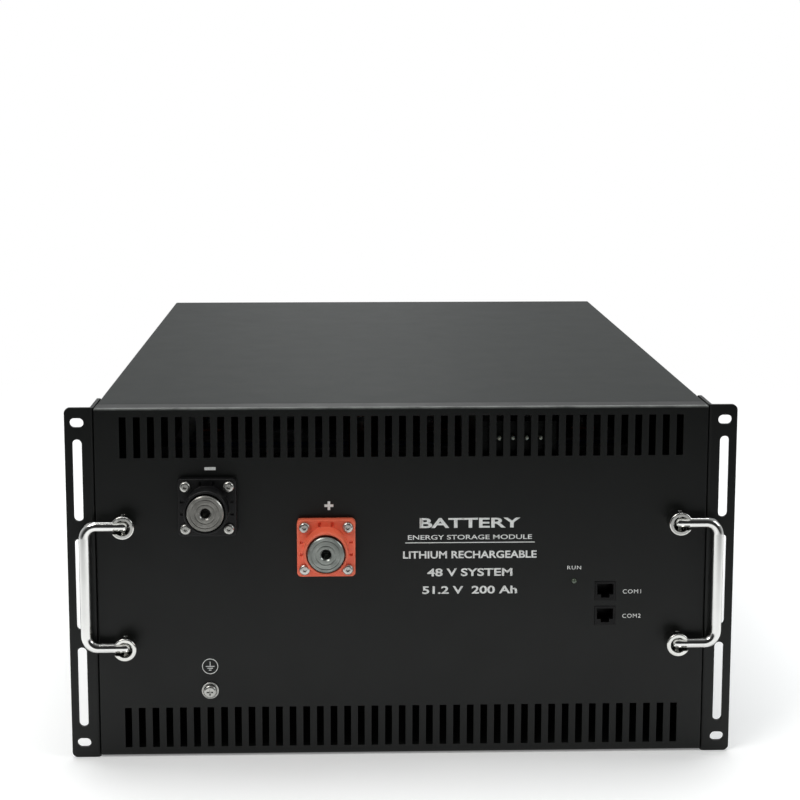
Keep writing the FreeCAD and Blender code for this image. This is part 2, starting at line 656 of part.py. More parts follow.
# ================================================================ power terminals
for name, cx, cz in (("negative", p.neg_x, p.neg_z), ("positive", p.pos_x, p.pos_z)):
    # moulded insulating base: flange, raised collar round the contact, boss through the panel
    pc = Piece(name + "_terminal_base", cx, face, cz)
    sk = pc.sketch("XZ", 0)
    sk.box(0, 0, p.term_half * 2, p.term_half * 2)
    pc.pad(sk, p.term_plate, -1)
    pc.edges("Fillet", 3.0, lambda e: e.BoundBox.YLength > 5.9)
    pc.edges("Fillet", 0.8, lambda e: flat(e, "y", -6.0))
    sk = pc.sketch("XZ", -p.term_plate)
    sk.circle(0, 0, 15.8)
    pc.pad(sk, 15.5, -1)
    pc.edges("Fillet", 0.8, lambda e: flat(e, "y", -21.5))
    sk = pc.sketch("XZ", 0)
    sk.circle(0, 0, 15.0)
    pc.pad(sk, 4.0, 1)
    sk = pc.sketch("XZ", -21.5)
    sk.circle(0, 0, 14.0)
    pc.pocket(sk, 6.0, 1)
    sk = pc.sketch("XZ", 0)
    sk.circle(0, 0, 9.0)
    sk.circles([(p.term_screw * a, p.term_screw * b) for a, b in corners], 2.1)
    pc.pocket(sk)
    # small lightening grooves moulded between the screws
    sk = pc.sketch("XZ", -p.term_plate)
    for a in (-4.5, 4.5):
        sk.box(a, 17.4, 2.0, 3.4)
        sk.box(17.8, a, 2.4, 2.0)
        sk.box(-17.8, a, 2.4, 2.0)
    pc.pocket(sk, 1.2, 1)

    # plated contact: threaded front face with turned rings, stud for the lug behind
    pc = Piece(name + "_terminal_contact", cx, face, cz)
    f0 = -p.term_proud
    R, B = p.contact_radius, p.contact_bore
    sk = pc.sketch("XY", 0)
    sk.poly([(0, f0 + p.contact_bore_deep), (B, f0 + p.contact_bore_deep), (B, f0 + 1.0), (B + 1.0, f0), (6.4, f0), (6.4, f0 + 0.6),
             (7.4, f0 + 0.6), (7.4, f0), (9.9, f0), (9.9, f0 + 0.6), (10.7, f0 + 0.6), (10.7, f0), (R - 0.7, f0), (R, f0 + 0.7),
             (R, -15.5), (9.0, -15.5), (9.0, 4.0), (6.0, 4.0), (6.0, 16.0), (0, 16.0)])
    pc.revolve(sk, "V_Axis")

# domed socket screws through both flanges
pc = Piece("terminal_screws", 0, face - p.term_plate, 0)
sk = pc.sketch("XZ", 0)
spots8 = [(cx + p.term_screw * a, cz + p.term_screw * b) for cx, cz in ((p.neg_x, p.neg_z), (p.pos_x, p.pos_z)) for a, b in corners]
sk.circles(spots8, 3.9)
pc.pad(sk, 2.6, -1)
pc.edges("Fillet", 1.6, lambda e: flat(e, "y", -2.6))
sk = pc.sketch("XZ", 0)
sk.circles(spots8, 2.0)
pc.pad(sk, 12.0, 1)
sk = pc.sketch("XZ", -2.6)
for cx, cz in spots8:
    sk.hexagon(cx, cz, 2.5)
pc.pocket(sk, 1.5, 1)

pc = Piece("terminal_nuts", 0, face + 6.5, 0)
sk = pc.sketch("XZ", 0)
for cx, cz in ((p.neg_x, p.neg_z), (p.pos_x, p.pos_z)):
    sk.hexagon(cx, cz, 19.0)
    sk.circle(cx, cz, 6.0)
pc.pad(sk, 7.0, 1)

# --- earth screw
pc = Piece("ground_screw", p.ground_x, face - 1.2, p.ground_z)
sk = pc.sketch("XZ", 0)
sk.circle(0, 0, 5.0)
pc.pad(sk, 3.6, -1)
pc.edges("Fillet", 2.0, lambda e: flat(e, "y", -3.6))
sk = pc.sketch("XZ", 0)
sk.circle(0, 0, 3.0)
pc.pad(sk, 13.0, 1)
sk = pc.sketch("XZ", -3.6)
sk.poly([(-2.4, -0.5), (-0.5, -0.5), (-0.5, -2.4), (0.5, -2.4), (0.5, -0.5), (2.4, -0.5), (2.4, 0.5), (0.5, 0.5), (0.5, 2.4),
         (-0.5, 2.4), (-0.5, 0.5), (-2.4, 0.5)])
pc.pocket(sk, 1.9, 1)

# ================================================================ communication ports and lamps
board_y = face + 16.6
pc = Piece("comm_ports", p.port_x, face - 0.4, p.port_z - p.port_pitch / 2)
sk = pc.sketch("XZ", 0)
sk.box(0, 0, 15.0, 13.6)
pc.pad(sk, 17.0, 1)
pc.edges("Fillet", 0.5, lambda e: e.BoundBox.YLength > 16)
a = pc.body.Tip
s2 = pc.sketch("XZ", 0)
s2.poly([(-5.9, 5.2), (-5.9, -2.8), (-3.1, -2.8), (-3.1, -5.2), (3.1, -5.2), (3.1, -2.8), (5.9, -2.8), (5.9, 5.2)])
pc.pocket(s2, 13.5, 1)
sk = pc.sketch("XZ", 0)
sk.box(0, p.port_pitch, 15.0, 13.6)
pc.pad(sk, 17.0, 1)
pc.edges("Fillet", 0.5, lambda e: e.BoundBox.YLength > 16 and e.BoundBox.Center.z > 10 and abs(e.BoundBox.Center.x) > 7.4)
s2 = pc.sketch("XZ", 0)
s2.poly([(x, z + p.port_pitch) for x, z in [(-5.9, 5.2), (-5.9, -2.8), (-3.1, -2.8), (-3.1, -5.2), (3.1, -5.2), (3.1, -2.8), (5.9, -2.8), (5.9, 5.2)]])
pc.pocket(s2, 13.5, 1)
pc = Piece("comm_port_contacts", p.port_x, face + 4.0, p.port_z)
sk = pc.sketch("XZ", 0)
sk.box(-3.57, -9.25 + 4.85, 0.5, 0.7)
f = pc.pad(sk, 9.1, 1)
pc.array([f], sk, 8, 1.02, 2, p.port_pitch)
pc = Piece("comm_board", 0, board_y, 0)
sk = pc.sketch("XZ", 0)
sk.rect(111.0, 173.0, 88.0, 148.0)
sk.circles([(116.0, 93.0), (116.0, 143.0), (168.0, 93.0), (168.0, 143.0)], 1.6)
pc.pad(sk, 1.6, 1)
pc = Piece("board_standoffs", 0, back, 0)
sk = pc.sketch("XZ", 0)
four = [(116.0, 93.0), (116.0, 143.0), (168.0, 93.0), (168.0, 143.0)]
for a, b in four:
    sk.hexagon(a, b, 5.5)
pc.pad(sk, 14.6, 1)
sk = pc.sketch("XZ", 14.6)
sk.circles(four, 1.6)
pc.pad(sk, 3.4, 1)
sk = pc.sketch("XZ", 0)
sk.circles([(64.0, 219.0), (106.0, 219.0)], 2.6)
pc.pad(sk, 6.0, 1)
bms_holes = [(-108.0, 70.0), (108.0, 70.0), (-108.0, 190.0), (108.0, 190.0)]
bms_y = -p.bracket_y - 2.0 - back
sk = pc.sketch("XZ", bms_y)
for a, b in bms_holes:
    sk.hexagon(a, b, 5.5)
pc.pad(sk, 6.4, -1)
sk = pc.sketch("XZ", bms_y - 6.4)
sk.circles(bms_holes, 1.6)
pc.pad(sk, 3.4, -1)
pc = Piece("run_led_lens", p.led_x, face, p.led_z)
sk = pc.sketch("XY", 0)
sk.poly([(0, -1.6), (0.9, -1.45), (1.6, -0.95), (2.0, -0.2), (2.0, 16.6), (0, 16.6)])
pc.revolve(sk, "V_Axis")
pc = Piece("soc_led_board", 0, face + 8.0, 0)
sk = pc.sketch("XZ", 0)
sk.rect(58.0, 112.0, 215.0, 247.0)
pc.pad(sk, 1.6, 1)
pc = Piece("soc_leds", p.soc_x, face + 8.0, p.soc_z)
sk = pc.sketch("XY", 0)
sk.poly([(0, -5.0), (0.8, -4.8), (1.3, -4.3), (1.5, -3.6), (1.5, 0), (0, 0)])
f = pc.revolve(sk, "V_Axis")
pc.array([f], sk, 4, p.soc_pitch)

# ================================================================ cell pack
half_w = p.cell_wide / 2
lo_x = p.row_x - half_w
pack_rear = -p.pack_front + p.cell_pitch * 7 + p.cell_thick
pack_wide = p.row_x + half_w
lid_top = p.cell_high + p.lid_thick
block("base_insulator", -pack_wide - 1.0, pack_wide + 1.0, -p.pack_front - p.plate_thick, pack_rear + p.plate_thick, p.tray_thick, p.cell_low)

pc = Piece("cell_cans", -p.row_x, -p.pack_front + p.cell_thick / 2, p.cell_low)
sk = pc.sketch("XY", 0)
sk.box(0, 0, p.cell_wide, p.cell_thick)
a = pc.pad(sk, p.cell_high - p.cell_low, 1)
s2 = pc.sketch("XY", p.can_wall)
s2.box(0, 0, p.cell_wide - p.can_wall * 2, p.cell_thick - p.can_wall * 2)
b = pc.pocket(s2, p.cell_high - p.cell_low - p.can_wall, 1)
pc.array([a, b], sk, 2, p.row_x * 2, 8, p.cell_pitch)

pc = Piece("electrode_stacks", -p.row_x, -p.pack_front + p.cell_thick / 2, p.cell_low + p.can_wall)
sk = pc.sketch("XY", 0)
sk.box(0, 0, p.cell_wide - 3.2, p.cell_thick - 2.4)
f = pc.pad(sk, 188.0, 1)
pc.array([f], sk, 2, p.row_x * 2, 8, p.cell_pitch)

pc = Piece("cell_lids", -p.row_x, -p.pack_front + p.cell_thick / 2, p.cell_high)
sk = pc.sketch("XY", 0)
sk.box(0, 0, p.cell_wide, p.cell_thick)
a = pc.pad(sk, p.lid_thick, 1)
s2 = pc.sketch("XY", p.lid_thick)
s2.slot(0, 0, 26.0, 14.0)
b = pc.pocket(s2, 1.2, -1)
pc.array([a, b], sk, 2, p.row_x * 2, 8, p.cell_pitch)

# poles: pad and stud; the four columns of poles run front to back
pole_z = lid_top + 3.0
pc = Piece("cell_poles", -p.row_x - p.pole_off, -p.pack_front + p.cell_thick / 2, lid_top)
sk = pc.sketch("XY", 0)
pitch_in = p.row_x * 2 - p.pole_off * 2
sk.box(0, 0, 24.0, 20.0)
sk.box(p.pole_off * 2, 0, 24.0, 20.0)
a = pc.pad(sk, 3.0, 1)
s2 = pc.sketch("XY", 3.0)
s2.circles([(0, 0), (p.pole_off * 2, 0)], 3.0)
b = pc.pad(s2, 9.0, 1)
pc.array([a, b], sk, 2, p.row_x * 2, 8, p.cell_pitch)

# busbars: series links between neighbouring cells, and one across the back
pc = Piece("busbars", 0, -p.pack_front + p.cell_thick / 2, pole_z)
out, inn = p.row_x + p.pole_off, p.row_x - p.pole_off
bar = []
for a in (-1, 1):
    for k in (0, 2, 4, 6):
        bar.append((out * a, p.cell_pitch * (k + 0.5), 20.0, p.cell_pitch + 18.0))
    for k in (1, 3, 5):
        bar.append((inn * a, p.cell_pitch * (k + 0.5), 20.0, p.cell_pitch + 18.0))
bar.append((dim(0), p.cell_pitch * 7, inn * 2 + 20.0, dim(18.0)))
sk = pc.sketch("XY", 0)
for cx, cy, w, l in bar:
    sk.box(cx, cy, w, l)
pc.pad(sk, 2.0, 1)
sk = pc.sketch("XY", 0)
for a in (-1, 1):
    sk.circles([(out * a, p.cell_pitch * k) for k in range(8)], 3.1)
    sk.circles([(inn * a, p.cell_pitch * k) for k in range(1, 8)], 3.1)
pc.pocket(sk, 2.0, 1)

pc = Piece("pack_nuts", -p.row_x - p.pole_off, -p.pack_front + p.cell_thick / 2, pole_z + 2.0)
sk = pc.sketch("XY", 0)
for off in (dim(0), p.pole_off * 2):
    sk.hexagon(off, 0, 10.0)
    sk.circle(off, 0, 3.0)
f = pc.pad(sk, 5.0, 1)
pc.array([f], sk, 2, p.row_x * 2, 8, p.cell_pitch)
# the same M6 nut on the tie rods, the fuse post and the two studs of the electronics
ox, oy, oz = p.row_x + p.pole_off, p.pack_front - p.cell_thick / 2, -(pole_z + 2.0)
for y0, way in ((-p.pack_front - p.plate_thick, -1), (pack_rear + p.plate_thick, 1)):
    sk = pc.sketch("XZ", y0 + oy)
    for a in (-1, 1):
        for z in (60.0, 160.0):
            sk.hexagon(p.rod_x * a + ox, oz + z, 10.0)
            sk.circle(p.rod_x * a + ox, oz + z, 3.0)
    pc.pad(sk, 5.0, way)
sk = pc.sketch("XY", 2.5)
sk.hexagon(ox + p.row_x - p.pole_off + 80.0, 0, 10.0)
sk.circle(ox + p.row_x - p.pole_off + 80.0, 0, 3.0)
pc.pad(sk, 5.0, 1)
sk = pc.sketch("XZ", -p.bracket_y - 21.5 + oy)
for a in (-27.5, -95.0):
    sk.hexagon(ox + a, oz + 186.0, 10.0)
    sk.circle(ox + a, oz + 186.0, 3.0)
pc.pad(sk, 5.0, -1)

pc = Piece("cell_separators", -p.row_x, -p.pack_front + p.cell_thick, p.cell_low)
sk = pc.sketch("XY", 0)
sk.rect(-86.0, 86.0, 0, 1.0)
f = pc.pad(sk, 203.0, 1)
pc.array([f], sk, 2, p.row_x * 2, 7, p.cell_pitch)
sk = pc.sketch("XY", 0)
sk.rect(p.row_x - 1.5, p.row_x + 1.5, -p.cell_thick, p.cell_pitch * 7)
pc.pad(sk, 204.0, 1)

# end plates, tie rods and nuts squeeze the two rows of cells
rod_z = [60.0, 160.0]
pc = Piece("pack_end_plates", 0, -p.pack_front, 0)
for y0, way in ((dim(0), -1), (pack_rear + p.pack_front, 1)):
    sk = pc.sketch("XZ", y0)
    sk.rect(-192.0, 192.0, p.cell_low, 205.0)
    for a in (-1, 1):
        sk.circles([(p.rod_x * a, z) for z in rod_z], 3.1)
    for a in (-120.0, -40.0, 40.0, 120.0):
        sk.slot(a, 110.0, 120.0, 36.0, True)
    pc.pad(sk, p.plate_thick, way)
pc = Piece("pack_tie_rods", 0, -p.pack_front - 16.0, 0)
sk = pc.sketch("XZ", 0)
for a in (-1, 1):
    sk.circles([(p.rod_x * a, z) for z in rod_z], 3.0)
pc.pad(sk, pack_rear + p.pack_front + 31.0, 1)
# side rails bolt the pack to the tray
pc = Piece("pack_side_rails", 0, -p.pack_front + 1.0, p.tray_thick)
sk = pc.sketch("XZ", 0)
for a in (-1, 1):
    pts = [(177.2, 0), (206.0, 0), (206.0, 2.0), (179.2, 2.0), (179.2, 40.0), (177.2, 40.0)]
    sk.poly([(x * a, z) for x, z in (pts if a > 0 else pts[::-1])])
pc.pad(sk, pack_rear + p.pack_front - 2.0, 1)
sk = pc.sketch("XY", 0)
sk.circles([(192.0 * a, dim(y) - (-p.pack_front + 1.0)) for a in (-1, 1) for y in floor_y], 2.6)
pc.pocket(sk)

pc = Piece("floor_screws", 0, 0, 0)
sk = pc.sketch("XY", 0)
sk.circles(floor_holes, 4.35)
pc.pad(sk, 1.85, 1)
pc.edges("Chamfer", 1.8, lambda e: ring(e, 4.35) and flat(e, "z", 1.85))
sk = pc.sketch("XY", 0)
sk.circles(floor_holes, 2.5)
pc.pad(sk, 11.0, 1)
sk = pc.sketch("XY", 0)
for x, y in floor_holes:
    sk.hexagon(x, y, 3.0)
pc.pocket(sk, 1.4, 1)
pc = Piece("floor_nuts", 0, 0, 4.0)
sk = pc.sketch("XY", 0)
for x, y in floor_holes:
    sk.hexagon(x, y, 8.0)
    sk.circle(x, y, 2.5)
pc.pad(sk, 4.0, 1)

# insulating sheet and foam strips between the busbars and the cover
block("pack_top_insulator", -178.0, 178.0, -p.pack_front + p.cell_pitch + 6.0, pack_rear, pole_z + 9.0, pole_z + 10.5)
block("foam_strips", 50.0, 110.0, -60.0, 250.0, pole_z + 10.5, 257.0,
      [(-110.0, -50.0, -60.0, 250.0, pole_z + 10.5, 257.0)])

# ================================================================ battery management electronics
by = -p.bracket_y                                # rear face of the bracket plate is 2 mm behind this
pc = Piece("bms_bracket", 0, by, p.tray_thick)
sk = pc.sketch("XZ", -2.0)
sk.rect(-150.0, 150.0, 0, 204.0)
for a in (-80.0, 0.0, 80.0):
    sk.slot(a, 30.0, 50.0, 20.0)
pc.pad(sk, 2.0, 1)
sk = pc.sketch("XZ", 0)
sk.rect(-150.0, 150.0, 0, 2.0)
pc.pad(sk, 16.0, 1)
sk = pc.sketch("XY", 0)
sk.circles([(x, dim(-176.0) + p.bracket_y) for x in foot_x], 2.6)
pc.pocket(sk, 2.0, 1)
pc = Piece("bms_board", 0, by - 8.4, p.tray_thick)
sk = pc.sketch("XZ", 0)
sk.rect(-116.0, 116.0, 60.0, 196.0)
sk.circles([(a, b - 2.0) for a, b in bms_holes], 1.6)
pc.pad(sk, 1.6, -1)
front_b = by - 10.0                              # front face of the board
pc = Piece("bms_mosfets", -60.0, front_b, 122.0)
sk = pc.sketch("XZ", 0)
sk.box(0, 0, 10.0, 15.0)
f = pc.pad(sk, 4.5, -1)
pc.array([f], sk, 9, 19.0, 2, 30.0)
pc = Piece("bms_heatsink", 0, front_b - 4.5, 100.0)
sk = pc.sketch("XZ", 0)
sk.rect(-70.0, 104.0, 0, 72.0)
pc.pad(sk, 4.0, -1)
s2 = pc.sketch("XZ", -4.0)
s2.rect(-70.0, -68.0, 0, 72.0)
f = pc.pad(s2, 18.0, -1)
pc.array([f], s2, 18, 172.0 / 17)
pc = Piece("bms_capacitors", 10.0, front_b, 84.0)
sk = pc.sketch("XZ", 0)
sk.circle(0, 0, 6.25)
f = pc.pad(sk, 20.0, -1)
pc.edges("Fillet", 0.8, lambda e: flat(e, "y", -20.0))
pc.array([f, pc.body.Tip], sk, 5, 16.0)
pc = Piece("bms_shunt", -70.0, front_b, 84.0)
sk = pc.sketch("XZ", 0)
sk.box(-18.0, 0, 14.0, 18.0)
sk.box(18.0, 0, 14.0, 18.0)
pc.pad(sk, 5.0, -1)
sk = pc.sketch("XZ", -1.5)
sk.box(0, 0, 22.0, 12.0)
pc.pad(sk, 2.0, -1)
pc = Piece("bms_connector", 0, front_b, 0)
sk = pc.sketch("XZ", 0)
sk.rect(36.0, 84.0, 184.0, 196.0)
pc.pad(sk, 9.0, -1)
# stud posts of the electronics, and the stud in the fuse post
pc = Piece("power_studs", 0, front_b, 186.0)
sk = pc.sketch("XZ", 0)
sk.circles([(-27.5, 0), (-95.0, 0)], 7.0)
pc.pad(sk, 9.0, -1)
sk = pc.sketch("XZ", -9.0)
sk.circles([(-27.5, 0), (-95.0, 0)], 3.0)
pc.pad(sk, 10.0, -1)
sk = pc.sketch("XY", pole_z - 186.0)
sk.circle(p.row_x - p.pole_off + 80.0, -p.pack_front + p.cell_thick / 2 - front_b, 3.0)
pc.pad(sk, 12.0, 1)

# ================================================================ high-current path
cell0_y = -p.pack_front + p.cell_thick / 2
# bar from the pack's negative pole over the bracket and down to the electronics
pc = Piece("negative_link_bar", -p.row_x + p.pole_off, 0, 0)
sk = pc.sketch("YZ", 0)
yb = front_b - 9.0
sk.poly([(cell0_y + 12.0, pole_z), (cell0_y + 12.0, pole_z + 2.0), (yb - 2.5, pole_z + 2.0), (yb - 2.5, 172.0), (yb, 172.0), (yb, pole_z)])
pc.pad(sk, 22.0, 0)
sk = pc.sketch("XY", pole_z)
sk.circle(0, cell0_y, 3.1)
pc.pocket(sk, 2.0, 1)
sk = pc.sketch("XZ", yb)
sk.circle(0, 186.0, 3.1)
pc.pocket(sk, 2.5, -1)

# main fuse between the pack's positive pole and the positive cable
pc = Piece("fuse_tabs", p.row_x - p.pole_off, cell0_y, pole_z)
sk = pc.sketch("XY", 0)
sk.rect(-10.0, 24.0, -9.0, 9.0)
sk.circle(0, 0, 3.1)
sk.rect(56.0, 90.0, -9.0, 9.0)
sk.circle(80.0, 0, 3.1)
pc.pad(sk, 2.0, 1)
pc = Piece("fuse_body", p.row_x - p.pole_off, cell0_y, pole_z)
sk = pc.sketch("YZ", 24.0)
sk.rect(-13.0, 13.0, 0, 22.0)
pc.pad(sk, 32.0, 1)
pc.edges("Fillet", 3.0, lambda e: e.BoundBox.XLength > 31.0)
pc = Piece("fuse_post", p.row_x - p.pole_off + 80.0, cell0_y, lid_top)
sk = pc.sketch("XY", 0)
sk.circle(0, 0, 9.0)
pc.pad(sk, 3.0, 1)
# cable lugs: flat palm with a bolt hole and a crimped barrel
pc = Piece("cable_lugs", 0, 0, 0)
fx = p.row_x - p.pole_off + 80.0
zb = pole_z + 2.0
sk = pc.sketch("XY", zb)
sk.rect(fx - 9.0, fx + 9.0, cell0_y - 24.0, cell0_y + 9.0)
sk.circle(fx, cell0_y, 3.1)
pc.pad(sk, 2.5, 1)
sk = pc.sketch("XZ", cell0_y - 17.0)
sk.circle(fx, zb + 5.5, 7.0)
pc.pad(sk, 20.0, -1)
ly = face + 4.0
sk = pc.sketch("XZ", ly)
sk.rect(p.pos_x - 11.0, p.pos_x + 19.0, p.pos_z - 10.0, p.pos_z + 10.0)
sk.circle(p.pos_x, p.pos_z, 6.05)
sk.rect(p.neg_x - 10.0, p.neg_x + 10.0, p.neg_z - 19.0, p.neg_z + 11.0)
sk.circle(p.neg_x, p.neg_z, 6.05)
pc.pad(sk, 2.5, 1)
sk = pc.sketch("YZ", p.pos_x + 14.0)
sk.circle(ly + 7.0, p.pos_z, 7.0)
pc.pad(sk, 20.0, 1)
sk = pc.sketch("XY", p.neg_z - 14.0)
sk.circle(p.neg_x, ly + 7.0, 7.0)
pc.pad(sk, 20.0, -1)
sk = pc.sketch("XZ", yb)
sk.rect(-104.0, -86.0, 168.0, 195.0)
sk.circle(-95.0, 186.0, 3.1)
pc.pad(sk, 2.5, -1)
sk = pc.sketch("XY", 173.0)
sk.circle(-95.0, yb - 6.5, 7.0)
pc.pad(sk, 20.0, -1)


def cable(name, points, radius, share=0.45):
    """Tube along straight runs joined by tangent arcs."""
    pts = [V(*[float(c) for c in q]) for q in points]
    edges, here, length, radii = [], pts[0], 0.0, []
    for k in range(1, len(pts) - 1):
        a, b = (pts[k] - pts[k - 1]), (pts[k + 1] - pts[k])
        u, v = V(a).normalize(), V(b).normalize()
        turn = math.acos(max(-1.0, min(1.0, u.dot(v))))
        cut = share * min(a.Length, b.Length)
        r = cut / math.tan(turn / 2)
        radii.append(round(r, 1))
        start, end = pts[k] - u * cut, pts[k] + v * cut
        bis = (v - u).normalize()
        centre = pts[k] + bis * (r / math.cos(turn / 2))
        middle = centre - bis * r
        edges.append(Part.LineSegment(here, start).toShape())
        edges.append(Part.Arc(start, middle, end).toShape())
        length += (start - here).Length + r * turn
        here = end
    edges.append(Part.LineSegment(here, pts[-1]).toShape())
    length += (pts[-1] - here).Length
    wire = Part.Wire(edges)
    first = (pts[1] - pts[0]).normalize()
    ring_ = Part.Wire(Part.Circle(pts[0], first, float(radius)).toShape())
    solid = wire.makePipeShell([ring_], True, False)
    want = math.pi * float(radius) ** 2 * length
    print(name, "length", round(length, 1), "radii", radii, "volume ratio", round(solid.Volume / want, 4), "valid", solid.isValid())
    feature = doc.addObject("Part::Feature", name)
    feature.Label = name
    feature.Shape = solid
    feature.Placement = FreeCAD.Placement(V(0, 0, 0), FreeCAD.Rotation())
    NODES.append(feature)
    return feature


r = p.cable_radius
zc = zb + 5.5
y1 = cell0_y - 37.0
cable("positive_cable", [(fx, y1, zc), (fx, y1 - 30.0, zc), (fx - 6.0, y1 - 58.0, zc - 8.0), (84.0, -250.0, 194.0), (54.0, -262.0, 174.0),
                         (18.0, ly + 7.0, p.pos_z), (p.pos_x + 34.0, ly + 7.0, p.pos_z)], r)
cable("negative_cable", [(-95.0, yb - 6.5, 153.0), (-95.0, yb - 6.5, 128.0), (-102.0, -224.0, 106.0), (-118.0, -244.0, 100.0),
                         (-134.0, -262.0, 112.0), (p.neg_x, ly + 7.0, 132.0), (p.neg_x, ly + 7.0, p.neg_z - 34.0)], r)
cable("sense_harness", [(0, 236.0, 214.5), (0, 176.0, 214.5), (1.0, 116.0, 214.5), (-1.0, 56.0, 214.5), (1.0, -4.0, 214.5), (-1.0, -64.0, 214.5),
                        (0, -124.0, 214.5), (2.0, -172.0, 216.0), (22.0, -196.0, 220.0), (48.0, -200.0, 218.0), (60.0, front_b - 4.5, 212.0),
                        (60.0, front_b - 4.5, 196.0)], 3.5)

# ================================================================ check and write
doc.recompute()
bad = [o.Name for o in doc.Objects if "Invalid" in o.State or "Error" in o.State]
if bad:
    raise RuntimeError("failed objects: " + ", ".join(bad))
names = [o.Label for o in NODES]
print(len(names), "names")
if len(set(names)) != len(names) or len(names) > 60:
    raise RuntimeError("bad node list")
os.makedirs("parts", exist_ok=True)
total = FreeCAD.BoundBox()
for o in NODES:
    if o.Shape.isNull() or not o.Shape.isValid() or not o.Shape.Solids:
        raise RuntimeError("bad shape: " + o.Label)
    total.add(o.Shape.BoundBox)
    o.Shape.exportStep("parts/%s.step" % o.Label)
print(len(NODES), "nodes", sum(len(o.Shape.Solids) for o in NODES), "solids", total)
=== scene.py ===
import bpy
import bmesh
import math
from mathutils import Vector, Matrix


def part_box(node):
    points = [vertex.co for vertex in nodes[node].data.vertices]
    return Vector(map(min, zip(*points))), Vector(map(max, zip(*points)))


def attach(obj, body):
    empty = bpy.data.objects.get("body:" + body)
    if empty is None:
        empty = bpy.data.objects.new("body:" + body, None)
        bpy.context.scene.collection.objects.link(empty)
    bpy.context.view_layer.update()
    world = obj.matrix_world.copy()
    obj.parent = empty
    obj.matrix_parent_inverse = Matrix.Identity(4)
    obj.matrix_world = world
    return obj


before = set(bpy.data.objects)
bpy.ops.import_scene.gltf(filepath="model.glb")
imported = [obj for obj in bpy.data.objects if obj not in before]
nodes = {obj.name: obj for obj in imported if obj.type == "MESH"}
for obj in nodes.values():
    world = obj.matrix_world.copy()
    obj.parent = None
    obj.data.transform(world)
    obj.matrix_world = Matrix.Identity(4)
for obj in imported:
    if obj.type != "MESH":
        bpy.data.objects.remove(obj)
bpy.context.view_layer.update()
scene = bpy.context.scene


# ------------------------------------------------------------------ material helpers
class Mat:
    """A small builder for node materials."""

    def __init__(self, name, metallic=0.0, specular=None, coat=None, coat_rough=0.1, ior=None,
                 transmission=None, sheen=None, subsurface=None):
        self.m = bpy.data.materials.new(name)
        self.m.use_nodes = True
        self.t = self.m.node_tree
        self.b = self.t.nodes["Principled BSDF"]
        self.b.inputs["Metallic"].default_value = metallic
        if specular is not None:
            self.b.inputs["Specular IOR Level"].default_value = specular
        if coat is not None:
            self.b.inputs["Coat Weight"].default_value = coat
            self.b.inputs["Coat Roughness"].default_value = coat_rough
        if ior is not None:
            self.b.inputs["IOR"].default_value = ior
        if transmission is not None:
            self.b.inputs["Transmission Weight"].default_value = transmission
        if sheen is not None:
            self.b.inputs["Sheen Weight"].default_value = sheen
            self.b.inputs["Sheen Roughness"].default_value = 0.5
        if subsurface is not None:
            self.b.inputs["Subsurface Weight"].default_value = subsurface
            self.b.inputs["Subsurface Radius"].default_value = (0.004, 0.0015, 0.0008)
            self.b.inputs["Subsurface Scale"].default_value = 1.0
        self.bumps = []

    def node(self, kind, **props):
        n = self.t.nodes.new(kind)
        for k, v in props.items():
            setattr(n, k, v)
        return n

    def link(self, a, b):
        self.t.links.new(a, b)

    def coords(self, scale=(1, 1, 1), at=(0, 0, 0), turn=(0, 0, 0)):
        tc = self.node("ShaderNodeTexCoord")
        mp = self.node("ShaderNodeMapping")
        mp.inputs["Location"].default_value = at
        mp.inputs["Rotation"].default_value = turn
        mp.inputs["Scale"].default_value = scale
        self.link(tc.outputs["Object"], mp.inputs["Vector"])
        return mp.outputs["Vector"]

    def noise(self, scale, detail=4.0, rough=0.5, stretch=(1, 1, 1), at=(0, 0, 0), distortion=0.0):
        n = self.node("ShaderNodeTexNoise")
        n.inputs["Scale"].default_value = scale
        n.inputs["Detail"].default_value = detail
        n.inputs["Roughness"].default_value = rough
        n.inputs["Distortion"].default_value = distortion
        self.link(self.coords(stretch, at), n.inputs["Vector"])
        return n.outputs["Fac"]

    def ramp(self, fac, stops):
        r = self.node("ShaderNodeValToRGB")
        el = r.color_ramp.elements
        while len(el) < len(stops):
            el.new(0.5)
        for e, (pos, col) in zip(el, stops):
            e.position = pos
            e.color = (*col, 1.0) if len(col) == 3 else col
        self.link(fac, r.inputs["Fac"])
        return r.outputs["Color"]

    def span(self, fac, lo, hi, a, b):
        r = self.node("ShaderNodeMapRange")
        r.inputs["From Min"].default_value = lo
        r.inputs["From Max"].default_value = hi
        r.inputs["To Min"].default_value = a
        r.inputs["To Max"].default_value = b
        self.link(fac, r.inputs["Value"])
        return r.outputs["Result"]

    def mix(self, fac, a, b, mode="MIX"):
        n = self.node("ShaderNodeMix", data_type="RGBA", blend_type=mode)
        if hasattr(fac, "is_linked"):
            self.link(fac, n.inputs["Factor"])
        else:
            n.inputs["Factor"].default_value = fac
        for sock, v in (("A", a), ("B", b)):
            s = [i for i in n.inputs if i.name == sock and i.type == "RGBA"][0]
            if hasattr(v, "is_linked"):
                self.link(v, s)
            else:
                s.default_value = (*v, 1.0)
        return [o for o in n.outputs if o.type == "RGBA"][0]

    def color(self, out):
        self.link(out, self.b.inputs["Base Color"])

    def rough(self, out):
        self.link(out, self.b.inputs["Roughness"])

    def bump(self, height, strength=0.2, distance=0.0001):
        n = self.node("ShaderNodeBump")
        n.inputs["Strength"].default_value = strength
        n.inputs["Distance"].default_value = distance
        self.link(height, n.inputs["Height"])
        if self.bumps:
            self.link(self.bumps[-1].outputs["Normal"], n.inputs["Normal"])
        self.bumps.append(n)
        return self

    def done(self):
        if self.bumps:
            self.link(self.bumps[-1].outputs["Normal"], self.b.inputs["Normal"])
        return self.m


